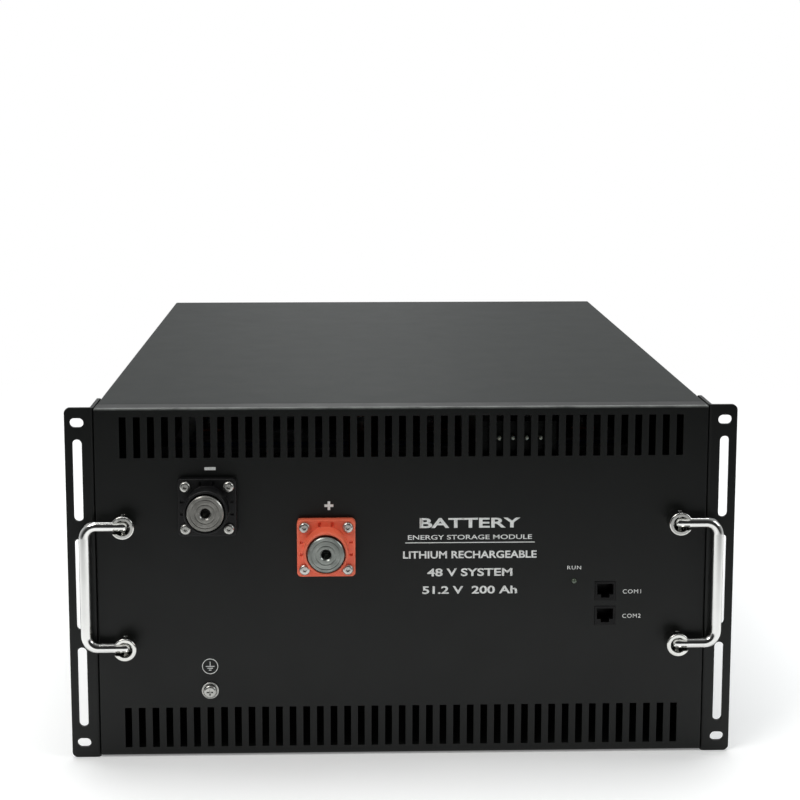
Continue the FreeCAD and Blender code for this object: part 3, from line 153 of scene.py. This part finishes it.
def rgb(r, g, b):
    """sRGB 0-255 to linear."""
    out = []
    for c in (r, g, b):
        c /= 255.0
        out.append(c / 12.92 if c <= 0.04045 else ((c + 0.055) / 1.055) ** 2.4)
    return tuple(out)


def powder_coat(name, dark, light, seed=0.0, rough=(0.40, 0.52), specular=0.34, painted_bend_highlight=()):
    """Black powder coat. painted_bend_highlight: bands along bends with a painted highlight (lighter colour) and lower
    roughness, mottled by noise, each (axis, from, to, axis, from, to) in metres.
    """
    m = Mat(name, specular=specular)
    broad = m.noise(5.0, 3.0, 0.55, at=(seed, 2.0 * seed, 0.3))
    speck = m.noise(1500.0, 2.0, 0.6, at=(seed, 0.1, 0.7))
    base = m.ramp(broad, [(0.25, dark), (0.78, light)])
    fine = m.ramp(speck, [(0.36, (0.72, 0.72, 0.72)), (0.66, (1.18, 1.18, 1.18))])
    color = m.mix(1.0, base, fine, "MULTIPLY")
    gloss = m.span(m.noise(38.0, 6.0, 0.65, at=(0.4, seed, 0.0)), 0.3, 0.72, *rough)
    if painted_bend_highlight:
        xyz = m.node("ShaderNodeSeparateXYZ")
        m.link(m.coords(), xyz.inputs["Vector"])
        # noise that mottles the painted highlight along the bands
        highlight_mottle = m.span(m.noise(55.0, 5.0, 0.7, (1, 1, 1), at=(seed, seed, 1.3)), 0.34, 0.60, 0.45, 1.0)
        total = None
        for a1, f1, t1, a2, f2, t2 in painted_bend_highlight:
            both = m.node("ShaderNodeMath", operation="MULTIPLY")
            m.link(m.span(xyz.outputs[a1], f1, t1, 0.0, 1.0), both.inputs[0])
            m.link(m.span(xyz.outputs[a2], f2, t2, 0.0, 1.0), both.inputs[1])
            if total is None:
                total = both
            else:
                most = m.node("ShaderNodeMath", operation="MAXIMUM")
                m.link(total.outputs[0], most.inputs[0])
                m.link(both.outputs[0], most.inputs[1])
                total = most
        amount = m.node("ShaderNodeMath", operation="MULTIPLY")
        m.link(total.outputs[0], amount.inputs[0])
        m.link(highlight_mottle, amount.inputs[1])
        # painted highlight: the coat's colour lightened to pale grey along the bends
        color = m.mix(amount.outputs[0], color, rgb(112, 115, 113))
        drop = m.node("ShaderNodeMapRange")
        drop.inputs["To Min"].default_value = 1.0
        drop.inputs["To Max"].default_value = 0.6
        m.link(amount.outputs[0], drop.inputs["Value"])
        less = m.node("ShaderNodeMath", operation="MULTIPLY")
        m.link(gloss, less.inputs[0])
        m.link(drop.outputs["Result"], less.inputs[1])
        gloss = less.outputs[0]
    m.color(color)
    m.rough(gloss)
    m.bump(m.noise(620.0, 3.0, 0.55, at=(0.0, seed, 0.2)), 0.4, 0.0001)
    m.bump(m.noise(2600.0, 1.0, 0.5, at=(seed, 0.0, 0.0)), 0.22, 0.00002)
    return m.done()


def metal(name, a, b, rough=(0.18, 0.34), stretch=(1, 1, 1), scale=260.0, bump=0.12, seed=0.0, depth=0.00002):
    m = Mat(name, metallic=1.0)
    streak = m.noise(scale, 5.0, 0.6, stretch, at=(seed, 0.3, seed))
    m.color(m.ramp(m.noise(22.0, 3.0, 0.5, at=(seed, seed, 0.1)), [(0.3, a), (0.72, b)]))
    m.rough(m.span(streak, 0.3, 0.7, *rough))
    m.bump(streak, bump, depth)
    return m.done()


def turned(name, a, b, centre, rough=(0.22, 0.36), rings=420.0, bump=0.25):
    """Lathe-turned plating: fine rings round an axis along Y."""
    m = Mat(name, metallic=1.0)
    w = m.node("ShaderNodeTexWave", wave_type="RINGS", rings_direction="Y", wave_profile="SAW")
    w.inputs["Scale"].default_value = rings
    w.inputs["Distortion"].default_value = 0.6
    w.inputs["Detail"].default_value = 2.0
    w.inputs["Detail Scale"].default_value = 3.0
    m.link(m.coords(at=(-centre[0], -centre[1], -centre[2])), w.inputs["Vector"])
    m.color(m.ramp(m.noise(160.0, 4.0, 0.55), [(0.3, a), (0.7, b)]))
    m.rough(m.span(w.outputs["Fac"], 0.0, 1.0, *rough))
    m.bump(w.outputs["Fac"], bump, 0.00003)
    m.bump(m.noise(900.0, 2.0, 0.5), 0.08, 0.00002)
    return m.done()


def plastic(name, a, b, rough=(0.32, 0.46), scale=500.0, bump=0.2, specular=0.45, subsurface=None, seed=0.0, coat=None):
    m = Mat(name, specular=specular, subsurface=subsurface, coat=coat, coat_rough=0.12)
    m.color(m.ramp(m.noise(30.0, 4.0, 0.6, at=(seed, 0, seed)), [(0.3, a), (0.72, b)]))
    m.rough(m.span(m.noise(120.0, 4.0, 0.6, at=(0, seed, 0)), 0.3, 0.7, *rough))
    m.bump(m.noise(scale, 3.0, 0.6, at=(seed, seed, 0)), bump, 0.00004)
    return m.done()


# ------------------------------------------------------------------ materials
# painted highlight along the front panel's top front bend
panel_black = powder_coat("powder_coat_panel", rgb(13, 15, 14), rgb(16, 18, 17), 0.0, rough=(0.38, 0.45), specular=0.26,
                         painted_bend_highlight=[("Z", 0.2576, 0.2588, "Y", -0.2758, -0.2770)])
ear_black = powder_coat("powder_coat_ear", rgb(12, 14, 13), rgb(15, 17, 16), 3.1, rough=(0.36, 0.44), specular=0.26)
cover_black = powder_coat("powder_coat_cover", rgb(30, 33, 32), rgb(34, 37, 36), 5.3, rough=(0.47, 0.50), specular=0.11)
chrome = metal("chrome_plate", rgb(210, 210, 208), rgb(228, 228, 226), (0.07, 0.15), (1, 1, 0.16), 700.0, 0.06, 0.2)
ferrule = metal("chrome_ferrule", rgb(200, 200, 196), rgb(220, 220, 216), (0.10, 0.20), (1, 0.2, 1), 900.0, 0.08, 0.9)
zinc = metal("zinc_plate", rgb(176, 176, 172), rgb(206, 205, 200), (0.22, 0.38), (1, 1, 1), 320.0, 0.12, 1.7)
black_steel = metal("black_oxide", rgb(40, 40, 41), rgb(58, 58, 60), (0.34, 0.5), (1, 1, 1), 300.0, 0.12, 2.3)
gold = metal("gold_flash", rgb(222, 178, 92), rgb(240, 204, 128), (0.14, 0.26), (1, 0.1, 1), 900.0, 0.08, 4.0)
copper = metal("busbar_copper", rgb(188, 112, 78), rgb(214, 140, 104), (0.24, 0.42), (1, 0.05, 1), 500.0, 0.14, 5.0)
tin = metal("tin_plate", rgb(178, 178, 172), rgb(204, 204, 198), (0.24, 0.42), (1, 1, 1), 260.0, 0.14, 6.0)
alu = metal("brushed_aluminium", rgb(186, 188, 190), rgb(208, 209, 210), (0.26, 0.42), (0.04, 1, 1), 700.0, 0.2, 7.0, 0.00004)
alu_black = metal("anodised_black", rgb(34, 34, 36), rgb(48, 48, 50), (0.34, 0.5), (1, 1, 0.05), 700.0, 0.16, 8.0, 0.00004)

lo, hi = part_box("negative_terminal_contact")
neg_c = (lo + hi) / 2
contact_neg = turned("turned_plating_neg", rgb(122, 121, 117), rgb(157, 156, 151), neg_c)
lo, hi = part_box("positive_terminal_contact")
pos_c = (lo + hi) / 2
contact_pos = turned("turned_plating_pos", rgb(119, 123, 119), rgb(157, 161, 156), pos_c)

orange = plastic("orange_moulding", rgb(238, 102, 72), rgb(250, 122, 90), (0.30, 0.44), 420.0, 0.22, 0.5, 0.06, 1.0)
black_plastic = plastic("black_moulding", rgb(11, 11, 12), rgb(16, 16, 17), (0.36, 0.48), 420.0, 0.25, 0.3, None, 2.0)
port_plastic = plastic("port_moulding", rgb(6, 6, 7), rgb(10, 10, 11), (0.34, 0.46), 420.0, 0.2, 0.2, None, 3.0)
epoxy = plastic("epoxy_sheet", rgb(196, 184, 120), rgb(212, 202, 146), (0.38, 0.55), 260.0, 0.25, 0.45, None, 4.0)
white_nylon = plastic("nylon_white", rgb(224, 222, 210), rgb(238, 236, 226), (0.4, 0.55), 420.0, 0.2, 0.45, 0.05, 5.0)
ceramic = plastic("fuse_ceramic", rgb(226, 222, 208), rgb(240, 237, 226), (0.22, 0.34), 240.0, 0.2, 0.5, None, 6.0, 0.3)
cell_film = plastic("cell_film", rgb(26, 62, 128), rgb(34, 76, 150), (0.16, 0.30), 140.0, 0.25, 0.5, None, 7.0, 0.4)
cable_red = plastic("cable_red", rgb(156, 22, 20), rgb(182, 32, 28), (0.42, 0.58), 380.0, 0.3, 0.4, None, 8.0)
cable_black = plastic("cable_black", rgb(20, 20, 20), rgb(30, 30, 30), (0.42, 0.58), 380.0, 0.3, 0.4, None, 9.0)
cap_sleeve = plastic("capacitor_sleeve", rgb(26, 28, 40), rgb(36, 38, 52), (0.2, 0.34), 200.0, 0.15, 0.5, None, 10.0)


def solder_mask(name, ground, patch, track, under, specular=0.5, coat=0.4):
    m = Mat(name, specular=specular, coat=coat, coat_rough=0.12)
    v = m.node("ShaderNodeTexBrick")
    v.inputs["Scale"].default_value = 90.0
    v.inputs["Mortar Size"].default_value = 0.03
    v.inputs["Color1"].default_value = (*ground, 1)
    v.inputs["Color2"].default_value = (*patch, 1)
    v.inputs["Mortar"].default_value = (*track, 1)
    m.link(m.coords((1, 1, 1), turn=(math.pi / 2, 0, 0)), v.inputs["Vector"])
    m.color(m.mix(m.noise(60.0, 3.0), v.outputs["Color"], under))
    m.rough(m.span(m.noise(200.0), 0.3, 0.7, 0.22, 0.4))
    m.bump(v.outputs["Fac"], 0.3, 0.00005)
    return m.done()


def electrode():
    m = Mat("electrode_layers", specular=0.3)
    w = m.node("ShaderNodeTexWave", wave_type="BANDS", bands_direction="Y")
    w.inputs["Scale"].default_value = 900.0
    m.link(m.coords(), w.inputs["Vector"])
    m.color(m.ramp(w.outputs["Fac"], [(0.2, rgb(36, 36, 38)), (0.6, rgb(70, 68, 66)), (0.95, rgb(150, 104, 76))]))
    m.rough(m.span(m.noise(90.0), 0.3, 0.7, 0.5, 0.7))
    m.bump(w.outputs["Fac"], 0.4, 0.00008)
    return m.done()


def foam():
    m = Mat("closed_cell_foam", specular=0.25, sheen=0.2)
    v = m.node("ShaderNodeTexVoronoi")
    v.inputs["Scale"].default_value = 900.0
    m.link(m.coords(), v.inputs["Vector"])
    m.color(m.ramp(v.outputs["Distance"], [(0.0, rgb(24, 24, 26)), (0.6, rgb(46, 46, 48))]))
    m.rough(m.span(m.noise(90.0), 0.3, 0.7, 0.75, 0.92))
    m.bump(v.outputs["Distance"], 0.5, 0.0003)
    return m.done()


def lens(name, a, b):
    m = Mat(name, specular=0.5, coat=0.5, coat_rough=0.05, subsurface=0.1)
    m.color(m.ramp(m.noise(500.0, 2.0), [(0.3, a), (0.7, b)]))
    m.rough(m.span(m.noise(900.0), 0.3, 0.7, 0.08, 0.18))
    m.bump(m.noise(700.0), 0.06, 0.00002)
    return m.done()


def screen_print():
    m = Mat("screen_print_white", specular=0.35)
    m.color(m.ramp(m.noise(900.0, 4.0, 0.6), [(0.28, rgb(218, 220, 218)), (0.60, rgb(238, 240, 238))]))
    m.rough(m.span(m.noise(400.0), 0.3, 0.7, 0.45, 0.62))
    m.bump(m.noise(1600.0, 2.0), 0.2, 0.00002)
    return m.done()


board = solder_mask("solder_mask_green", rgb(10, 74, 36), rgb(14, 88, 44), rgb(34, 120, 62), rgb(9, 62, 32))
board_dark = solder_mask("solder_mask_dark", rgb(8, 11, 9), rgb(10, 14, 12), rgb(18, 24, 20), rgb(8, 10, 9), 0.12, 0.0)
layers = electrode()
foam_black = foam()
run_lens = lens("run_lens", rgb(52, 64, 52), rgb(74, 88, 72))
soc_lens = lens("soc_lens", rgb(150, 160, 148), rgb(182, 190, 178))
white_ink = screen_print()

LOOK = {
    "front_panel": panel_black, "rack_ear_left": ear_black, "rack_ear_right": ear_black, "chassis_tray": cover_black,
    "top_cover": cover_black, "rear_panel": panel_black, "rack_ear_screws": black_steel, "cover_screws": black_steel,
    "rear_panel_screws": black_steel, "floor_screws": black_steel, "handle_posts": ferrule, "handle_pins": zinc,
    "handle_bow_left": chrome, "handle_bow_right": chrome, "panel_washers": zinc, "panel_nuts": zinc,
    "negative_terminal_base": black_plastic, "positive_terminal_base": orange,
    "negative_terminal_contact": contact_neg, "positive_terminal_contact": contact_pos,
    "terminal_screws": zinc, "terminal_nuts": zinc, "ground_screw": zinc, "comm_ports": port_plastic,
    "comm_port_contacts": gold, "comm_board": board, "board_standoffs": tin, "run_led_lens": run_lens,
    "soc_led_board": board_dark, "soc_leds": soc_lens, "base_insulator": epoxy, "cell_cans": cell_film,
    "electrode_stacks": layers, "cell_lids": alu, "cell_poles": alu, "busbars": copper, "pack_nuts": zinc,
    "cell_separators": epoxy, "pack_end_plates": alu, "pack_tie_rods": zinc, "pack_side_rails": zinc,
    "floor_nuts": zinc, "pack_top_insulator": epoxy, "foam_strips": foam_black, "bms_bracket": zinc,
    "bms_board": board, "bms_mosfets": black_plastic, "bms_heatsink": alu_black, "bms_capacitors": cap_sleeve,
    "bms_shunt": copper, "bms_connector": white_nylon, "power_studs": tin, "negative_link_bar": copper,
    "fuse_tabs": copper, "fuse_body": ceramic, "fuse_post": black_plastic, "cable_lugs": tin,
    "positive_cable": cable_red, "negative_cable": cable_black, "sense_harness": cable_black,
}

# small rounded edges on the visible CAD parts, in metres
EDGE = {
    "front_panel": 0.00035, "rack_ear_left": 0.00035, "rack_ear_right": 0.00035, "top_cover": 0.0003, "chassis_tray": 0.0003,
    "rear_panel": 0.0003, "negative_terminal_base": 0.0003, "positive_terminal_base": 0.0003,
    "negative_terminal_contact": 0.00015, "positive_terminal_contact": 0.00015, "terminal_screws": 0.0002,
    "ground_screw": 0.0002, "handle_posts": 0.00022, "comm_ports": 0.0002, "panel_washers": 0.0002,
    "pack_end_plates": 0.0006, "cell_cans": 0.0004, "bms_heatsink": 0.0003, "busbars": 0.0003, "bms_capacitors": 0.0002,
    "soc_led_board": 0.00015, "comm_board": 0.00015, "bms_board": 0.00015, "fuse_body": 0.0003, "cell_lids": 0.0003,
}

# folded sheets whose faces are all flat, shaded flat
FLAT = ("chassis_tray", "rear_panel")

for name, obj in nodes.items():
    mat = LOOK[name]
    obj.data.materials.clear()
    obj.data.materials.append(mat)
    for poly in obj.data.polygons:
        poly.use_smooth = name not in FLAT
        poly.material_index = 0
    weld = obj.modifiers.new("weld", "WELD")
    weld.merge_threshold = 0.000002
    if name in EDGE:
        bev = obj.modifiers.new("edges", "BEVEL")
        bev.width = EDGE[name]
        bev.segments = 2
        bev.limit_method = "ANGLE"
        bev.angle_limit = math.radians(32)
        bev.use_clamp_overlap = True
        bev.harden_normals = False
    if name not in FLAT:
        wn = obj.modifiers.new("normals", "WEIGHTED_NORMAL")
        wn.mode = "FACE_AREA_WITH_ANGLE"
        wn.weight = 60
        wn.keep_sharp = True


# ------------------------------------------------------------------ printed legends
face_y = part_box("front_panel")[0].y
ink_y = face_y - 0.00006


def mesh_piece(name, bm, mat, body="case"):
    me = bpy.data.meshes.new(name)
    bm.to_mesh(me)
    bm.free()
    ob = bpy.data.objects.new(name, me)
    scene.collection.objects.link(ob)
    me.materials.append(mat)
    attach(ob, body)
    return ob


def lettering(name, text, x, z, height, width=None, bold=0.0, align="CENTER", spacing=1.0):
    """Flat printed text on the panel, centred at x with its capitals' middle at z; width squeezes it to fit."""
    cu = bpy.data.curves.new(name + "_curve", "FONT")
    cu.body = text
    cu.size = 1.0
    cu.align_x = "LEFT"
    cu.offset = bold
    cu.space_character = spacing
    cu.resolution_u = 6
    tmp = bpy.data.objects.new(name + "_tmp", cu)
    scene.collection.objects.link(tmp)
    bpy.context.view_layer.update()
    dg = bpy.context.evaluated_depsgraph_get()
    me = bpy.data.meshes.new_from_object(tmp.evaluated_get(dg))
    bpy.data.objects.remove(tmp)
    xs = [v.co.x for v in me.vertices]
    ys = [v.co.y for v in me.vertices]
    x0, x1, y0, y1 = min(xs), max(xs), min(ys), max(ys)
    sy = height / (y1 - y0)
    sx = (width / (x1 - x0)) if width else sy
    for v in me.vertices:
        u = (v.co.x - (x0 + x1) / 2) * sx
        w = (v.co.y - (y0 + y1) / 2) * sy
        v.co = (x + u, ink_y, z + w)
    bm = bmesh.new()
    bm.from_mesh(me)
    bpy.data.meshes.remove(me)
    bmesh.ops.remove_doubles(bm, verts=bm.verts, dist=1e-7)
    # a real ink film, a few hundredths of a millimetre thick
    got = bmesh.ops.extrude_face_region(bm, geom=bm.faces[:])
    for g in got["geom"]:
        if isinstance(g, bmesh.types.BMVert):
            g.co.y += 0.00005
    bmesh.ops.recalc_face_normals(bm, faces=bm.faces[:])
    return mesh_piece(name, bm, white_ink)


def ink_shape(name, outlines):
    """Printed shape from closed outlines of (x, z) points."""
    bm = bmesh.new()
    for pts in outlines:
        vs = [bm.verts.new((x, ink_y, z)) for x, z in pts]
        f = bm.faces.new(vs)
        got = bmesh.ops.extrude_face_region(bm, geom=[f])
        for g in got["geom"]:
            if isinstance(g, bmesh.types.BMVert):
                g.co.y += 0.00005
    bmesh.ops.recalc_face_normals(bm, faces=bm.faces[:])
    return mesh_piece(name, bm, white_ink)


def bar(x, z, w, h, r=0.0003):
    """Rounded rectangle outline."""
    pts = []
    for cx, cz, a0 in ((x + w / 2 - r, z + h / 2 - r, 0), (x - w / 2 + r, z + h / 2 - r, 90),
                       (x - w / 2 + r, z - h / 2 + r, 180), (x + w / 2 - r, z - h / 2 + r, 270)):
        for k in range(4):
            a = math.radians(a0 + 30 * k)
            pts.append((cx + r * math.cos(a), cz + r * math.sin(a)))
    return pts


def ring_ink(name, x, z, r0, r1, n=48):
    bm = bmesh.new()
    rows = []
    for y in (ink_y, ink_y + 0.00005):
        rows.append([[bm.verts.new((x + r * math.cos(2 * math.pi * k / n), y, z + r * math.sin(2 * math.pi * k / n)))
                      for k in range(n)] for r in (r0, r1)])
    for k in range(n):
        j = (k + 1) % n
        (a0, a1), (b0, b1) = rows
        bm.faces.new((a0[k], a0[j], a1[j], a1[k]))
        bm.faces.new((b0[k], b1[k], b1[j], b0[j]))
        bm.faces.new((a1[k], a1[j], b1[j], b1[k]))
        bm.faces.new((a0[k], b0[k], b0[j], a0[j]))
    bmesh.ops.recalc_face_normals(bm, faces=bm.faces[:])
    return mesh_piece(name, bm, white_ink)


MM = 0.001
lettering("legend_title", "BATTERY", 49 * MM, 174 * MM, 7.4 * MM, 73 * MM, 0.025)
lettering("legend_line_1", "ENERGY STORAGE MODULE", 49 * MM, 163.4 * MM, 3.4 * MM, 90 * MM, 0.01)
ink_shape("legend_rule", [bar(49 * MM, 159.4 * MM, 94 * MM, 0.6 * MM, 0.00025)])
lettering("legend_line_2", "LITHIUM RECHARGEABLE", 49 * MM, 150.4 * MM, 5.6 * MM, 97 * MM, 0.025)
lettering("legend_line_3", "48 V SYSTEM", 49 * MM, 137.2 * MM, 5.9 * MM, 62 * MM, 0.025)
lettering("legend_line_4", "51.2 V  200 Ah", 49 * MM, 124.0 * MM, 5.9 * MM, 69 * MM, 0.025)
ink_shape("minus_mark", [bar(-138 * MM, 215.2 * MM, 8.0 * MM, 2.2 * MM)])
px, pz = -53 * MM, 187.4 * MM
ink_shape("plus_mark", [[(px - 3.2 * MM, pz - 0.95 * MM), (px - 0.95 * MM, pz - 0.95 * MM), (px - 0.95 * MM, pz - 3.2 * MM),
                         (px + 0.95 * MM, pz - 3.2 * MM), (px + 0.95 * MM, pz - 0.95 * MM), (px + 3.2 * MM, pz - 0.95 * MM),
                         (px + 3.2 * MM, pz + 0.95 * MM), (px + 0.95 * MM, pz + 0.95 * MM), (px + 0.95 * MM, pz + 3.2 * MM),
                         (px - 0.95 * MM, pz + 3.2 * MM), (px - 0.95 * MM, pz + 0.95 * MM), (px - 3.2 * MM, pz + 0.95 * MM)]])
ex, ez = -140 * MM, 68 * MM
ring_ink("earth_ring", ex, ez, 5.35 * MM, 5.8 * MM)
ink_shape("earth_mark", [bar(ex, ez + 1.9 * MM, 0.5 * MM, 3.4 * MM, 0.0002), bar(ex, ez + 0.0 * MM, 6.4 * MM, 0.5 * MM, 0.0002),
                         bar(ex, ez - 1.4 * MM, 4.2 * MM, 0.5 * MM, 0.0002), bar(ex, ez - 2.8 * MM, 2.0 * MM, 0.5 * MM, 0.0002)])
lettering("label_run", "RUN", 125 * MM, 140 * MM, 2.7 * MM, 10.0 * MM, spacing=1.2)
lettering("label_com_1", "COM1", 167.5 * MM, 121.8 * MM, 3.0 * MM, 13.4 * MM, spacing=1.15)
lettering("label_com_2", "COM2", 167.5 * MM, 103.4 * MM, 3.0 * MM, 13.4 * MM, spacing=1.15)


# ------------------------------------------------------------------ floor, light and camera
def pale_floor():
    """Pale matt sweep that fades out with distance, so that floor and background meet without a line."""
    m = Mat("pale_floor", specular=0.25)
    m.b.inputs["Emission Color"].default_value = (1.0, 1.0, 1.0, 1.0)
    m.b.inputs["Emission Strength"].default_value = 0.22
    m.color(m.ramp(m.noise(1.2, 3.0), [(0.3, rgb(236, 237, 237)), (0.7, rgb(241, 242, 242))]))
    m.rough(m.span(m.noise(5.0), 0.3, 0.7, 0.6, 0.75))
    m.done()
    dist = m.node("ShaderNodeVectorMath", operation="LENGTH")
    m.link(m.coords(), dist.inputs[0])
    far = m.node("ShaderNodeMapRange", interpolation_type="SMOOTHERSTEP")
    far.inputs["From Min"].default_value = 0.45
    far.inputs["From Max"].default_value = 1.5
    m.link(dist.outputs["Value"], far.inputs["Value"])
    fade = far.outputs["Result"]
    clear = m.node("ShaderNodeBsdfTransparent")
    mix = m.node("ShaderNodeMixShader")
    m.link(fade, mix.inputs["Fac"])
    m.link(m.b.outputs["BSDF"], mix.inputs[1])
    m.link(clear.outputs["BSDF"], mix.inputs[2])
    m.link(mix.outputs["Shader"], m.t.nodes["Material Output"].inputs["Surface"])
    return m.m


bm = bmesh.new()
bmesh.ops.create_circle(bm, cap_ends=True, radius=8.0, segments=96)
me = bpy.data.meshes.new("floor")
bm.to_mesh(me)
bm.free()
floor = bpy.data.objects.new("floor", me)
floor.location = (0, 0, -0.0003)
scene.collection.objects.link(floor)
me.materials.append(pale_floor())

# surroundings: plain and pale to look at; bright behind and above, dim on the camera's side, for the reflections
world = bpy.data.worlds.new("studio")
scene.world = world
world.use_nodes = True
wt = world.node_tree
bg = wt.nodes["Background"]
bg.inputs["Color"].default_value = (1.0, 1.0, 1.0, 1.0)
bg.inputs["Strength"].default_value = 1.0
room = wt.nodes.new("ShaderNodeBackground")
tc = wt.nodes.new("ShaderNodeTexCoord")
sep = wt.nodes.new("ShaderNodeSeparateXYZ")
wt.links.new(tc.outputs["Generated"], sep.inputs["Vector"])
depth = wt.nodes.new("ShaderNodeMapRange")
depth.interpolation_type = "SMOOTHSTEP"
depth.inputs["From Min"].default_value = -0.85
depth.inputs["From Max"].default_value = 0.35
depth.inputs["To Min"].default_value = 0.03
depth.inputs["To Max"].default_value = 0.66
wt.links.new(sep.outputs["Y"], depth.inputs["Value"])
wt.links.new(depth.outputs["Result"], room.inputs["Strength"])
room.inputs["Color"].default_value = (0.94, 0.955, 0.96, 1.0)
path = wt.nodes.new("ShaderNodeLightPath")
both = wt.nodes.new("ShaderNodeMixShader")
wt.links.new(path.outputs["Is Camera Ray"], both.inputs["Fac"])
wt.links.new(room.outputs["Background"], both.inputs[1])
wt.links.new(bg.outputs["Background"], both.inputs[2])
wt.links.new(both.outputs["Shader"], wt.nodes["World Output"].inputs["Surface"])


def softbox(name, at, aim, size, power, color=(1, 1, 1)):
    li = bpy.data.lights.new(name, "AREA")
    li.shape = "RECTANGLE"
    li.size, li.size_y = size
    li.energy = power
    li.color = color
    ob = bpy.data.objects.new(name, li)
    ob.location = at
    ob.rotation_euler = (Vector(aim) - Vector(at)).to_track_quat("-Z", "Y").to_euler()
    scene.collection.objects.link(ob)
    return ob


softbox("key", (-1.5, -1.5, 2.5), (0, -0.1, 0.1), (1.4, 1.4), 34, (1.0, 0.985, 0.96))
softbox("fill", (2.4, -1.0, 1.5), (0, 0, 0.1), (1.2, 1.2), 13, (0.95, 0.98, 1.0))
softbox("top", (0.0, 0.35, 2.2), (0, 0.1, 0.2), (2.0, 1.2), 34)
back = softbox("back", (-0.03, 3.3, 1.2), (0, 0.2, 0.26), (0.7, 1.0), 1.3)
back.visible_camera = False

cam_data = bpy.data.cameras.new("camera")
cam = bpy.data.objects.new("camera", cam_data)
scene.collection.objects.link(cam)
cam_data.lens = 73.0
cam_data.sensor_width = 36.0
cam_data.shift_x = 0.016
cam_data.shift_y = -0.12
cam_data.clip_end = 60.0
cam.location = (-0.0419, -1.4181, 0.4839)
yaw, pitch = 0.0271, math.radians(7.5)
look = Vector((math.sin(yaw) * math.cos(pitch), math.cos(yaw) * math.cos(pitch), -math.sin(pitch)))
cam.rotation_euler = look.to_track_quat("-Z", "Y").to_euler()
scene.camera = cam
scene.view_settings.view_transform = "Standard"
scene.view_settings.look = "None"
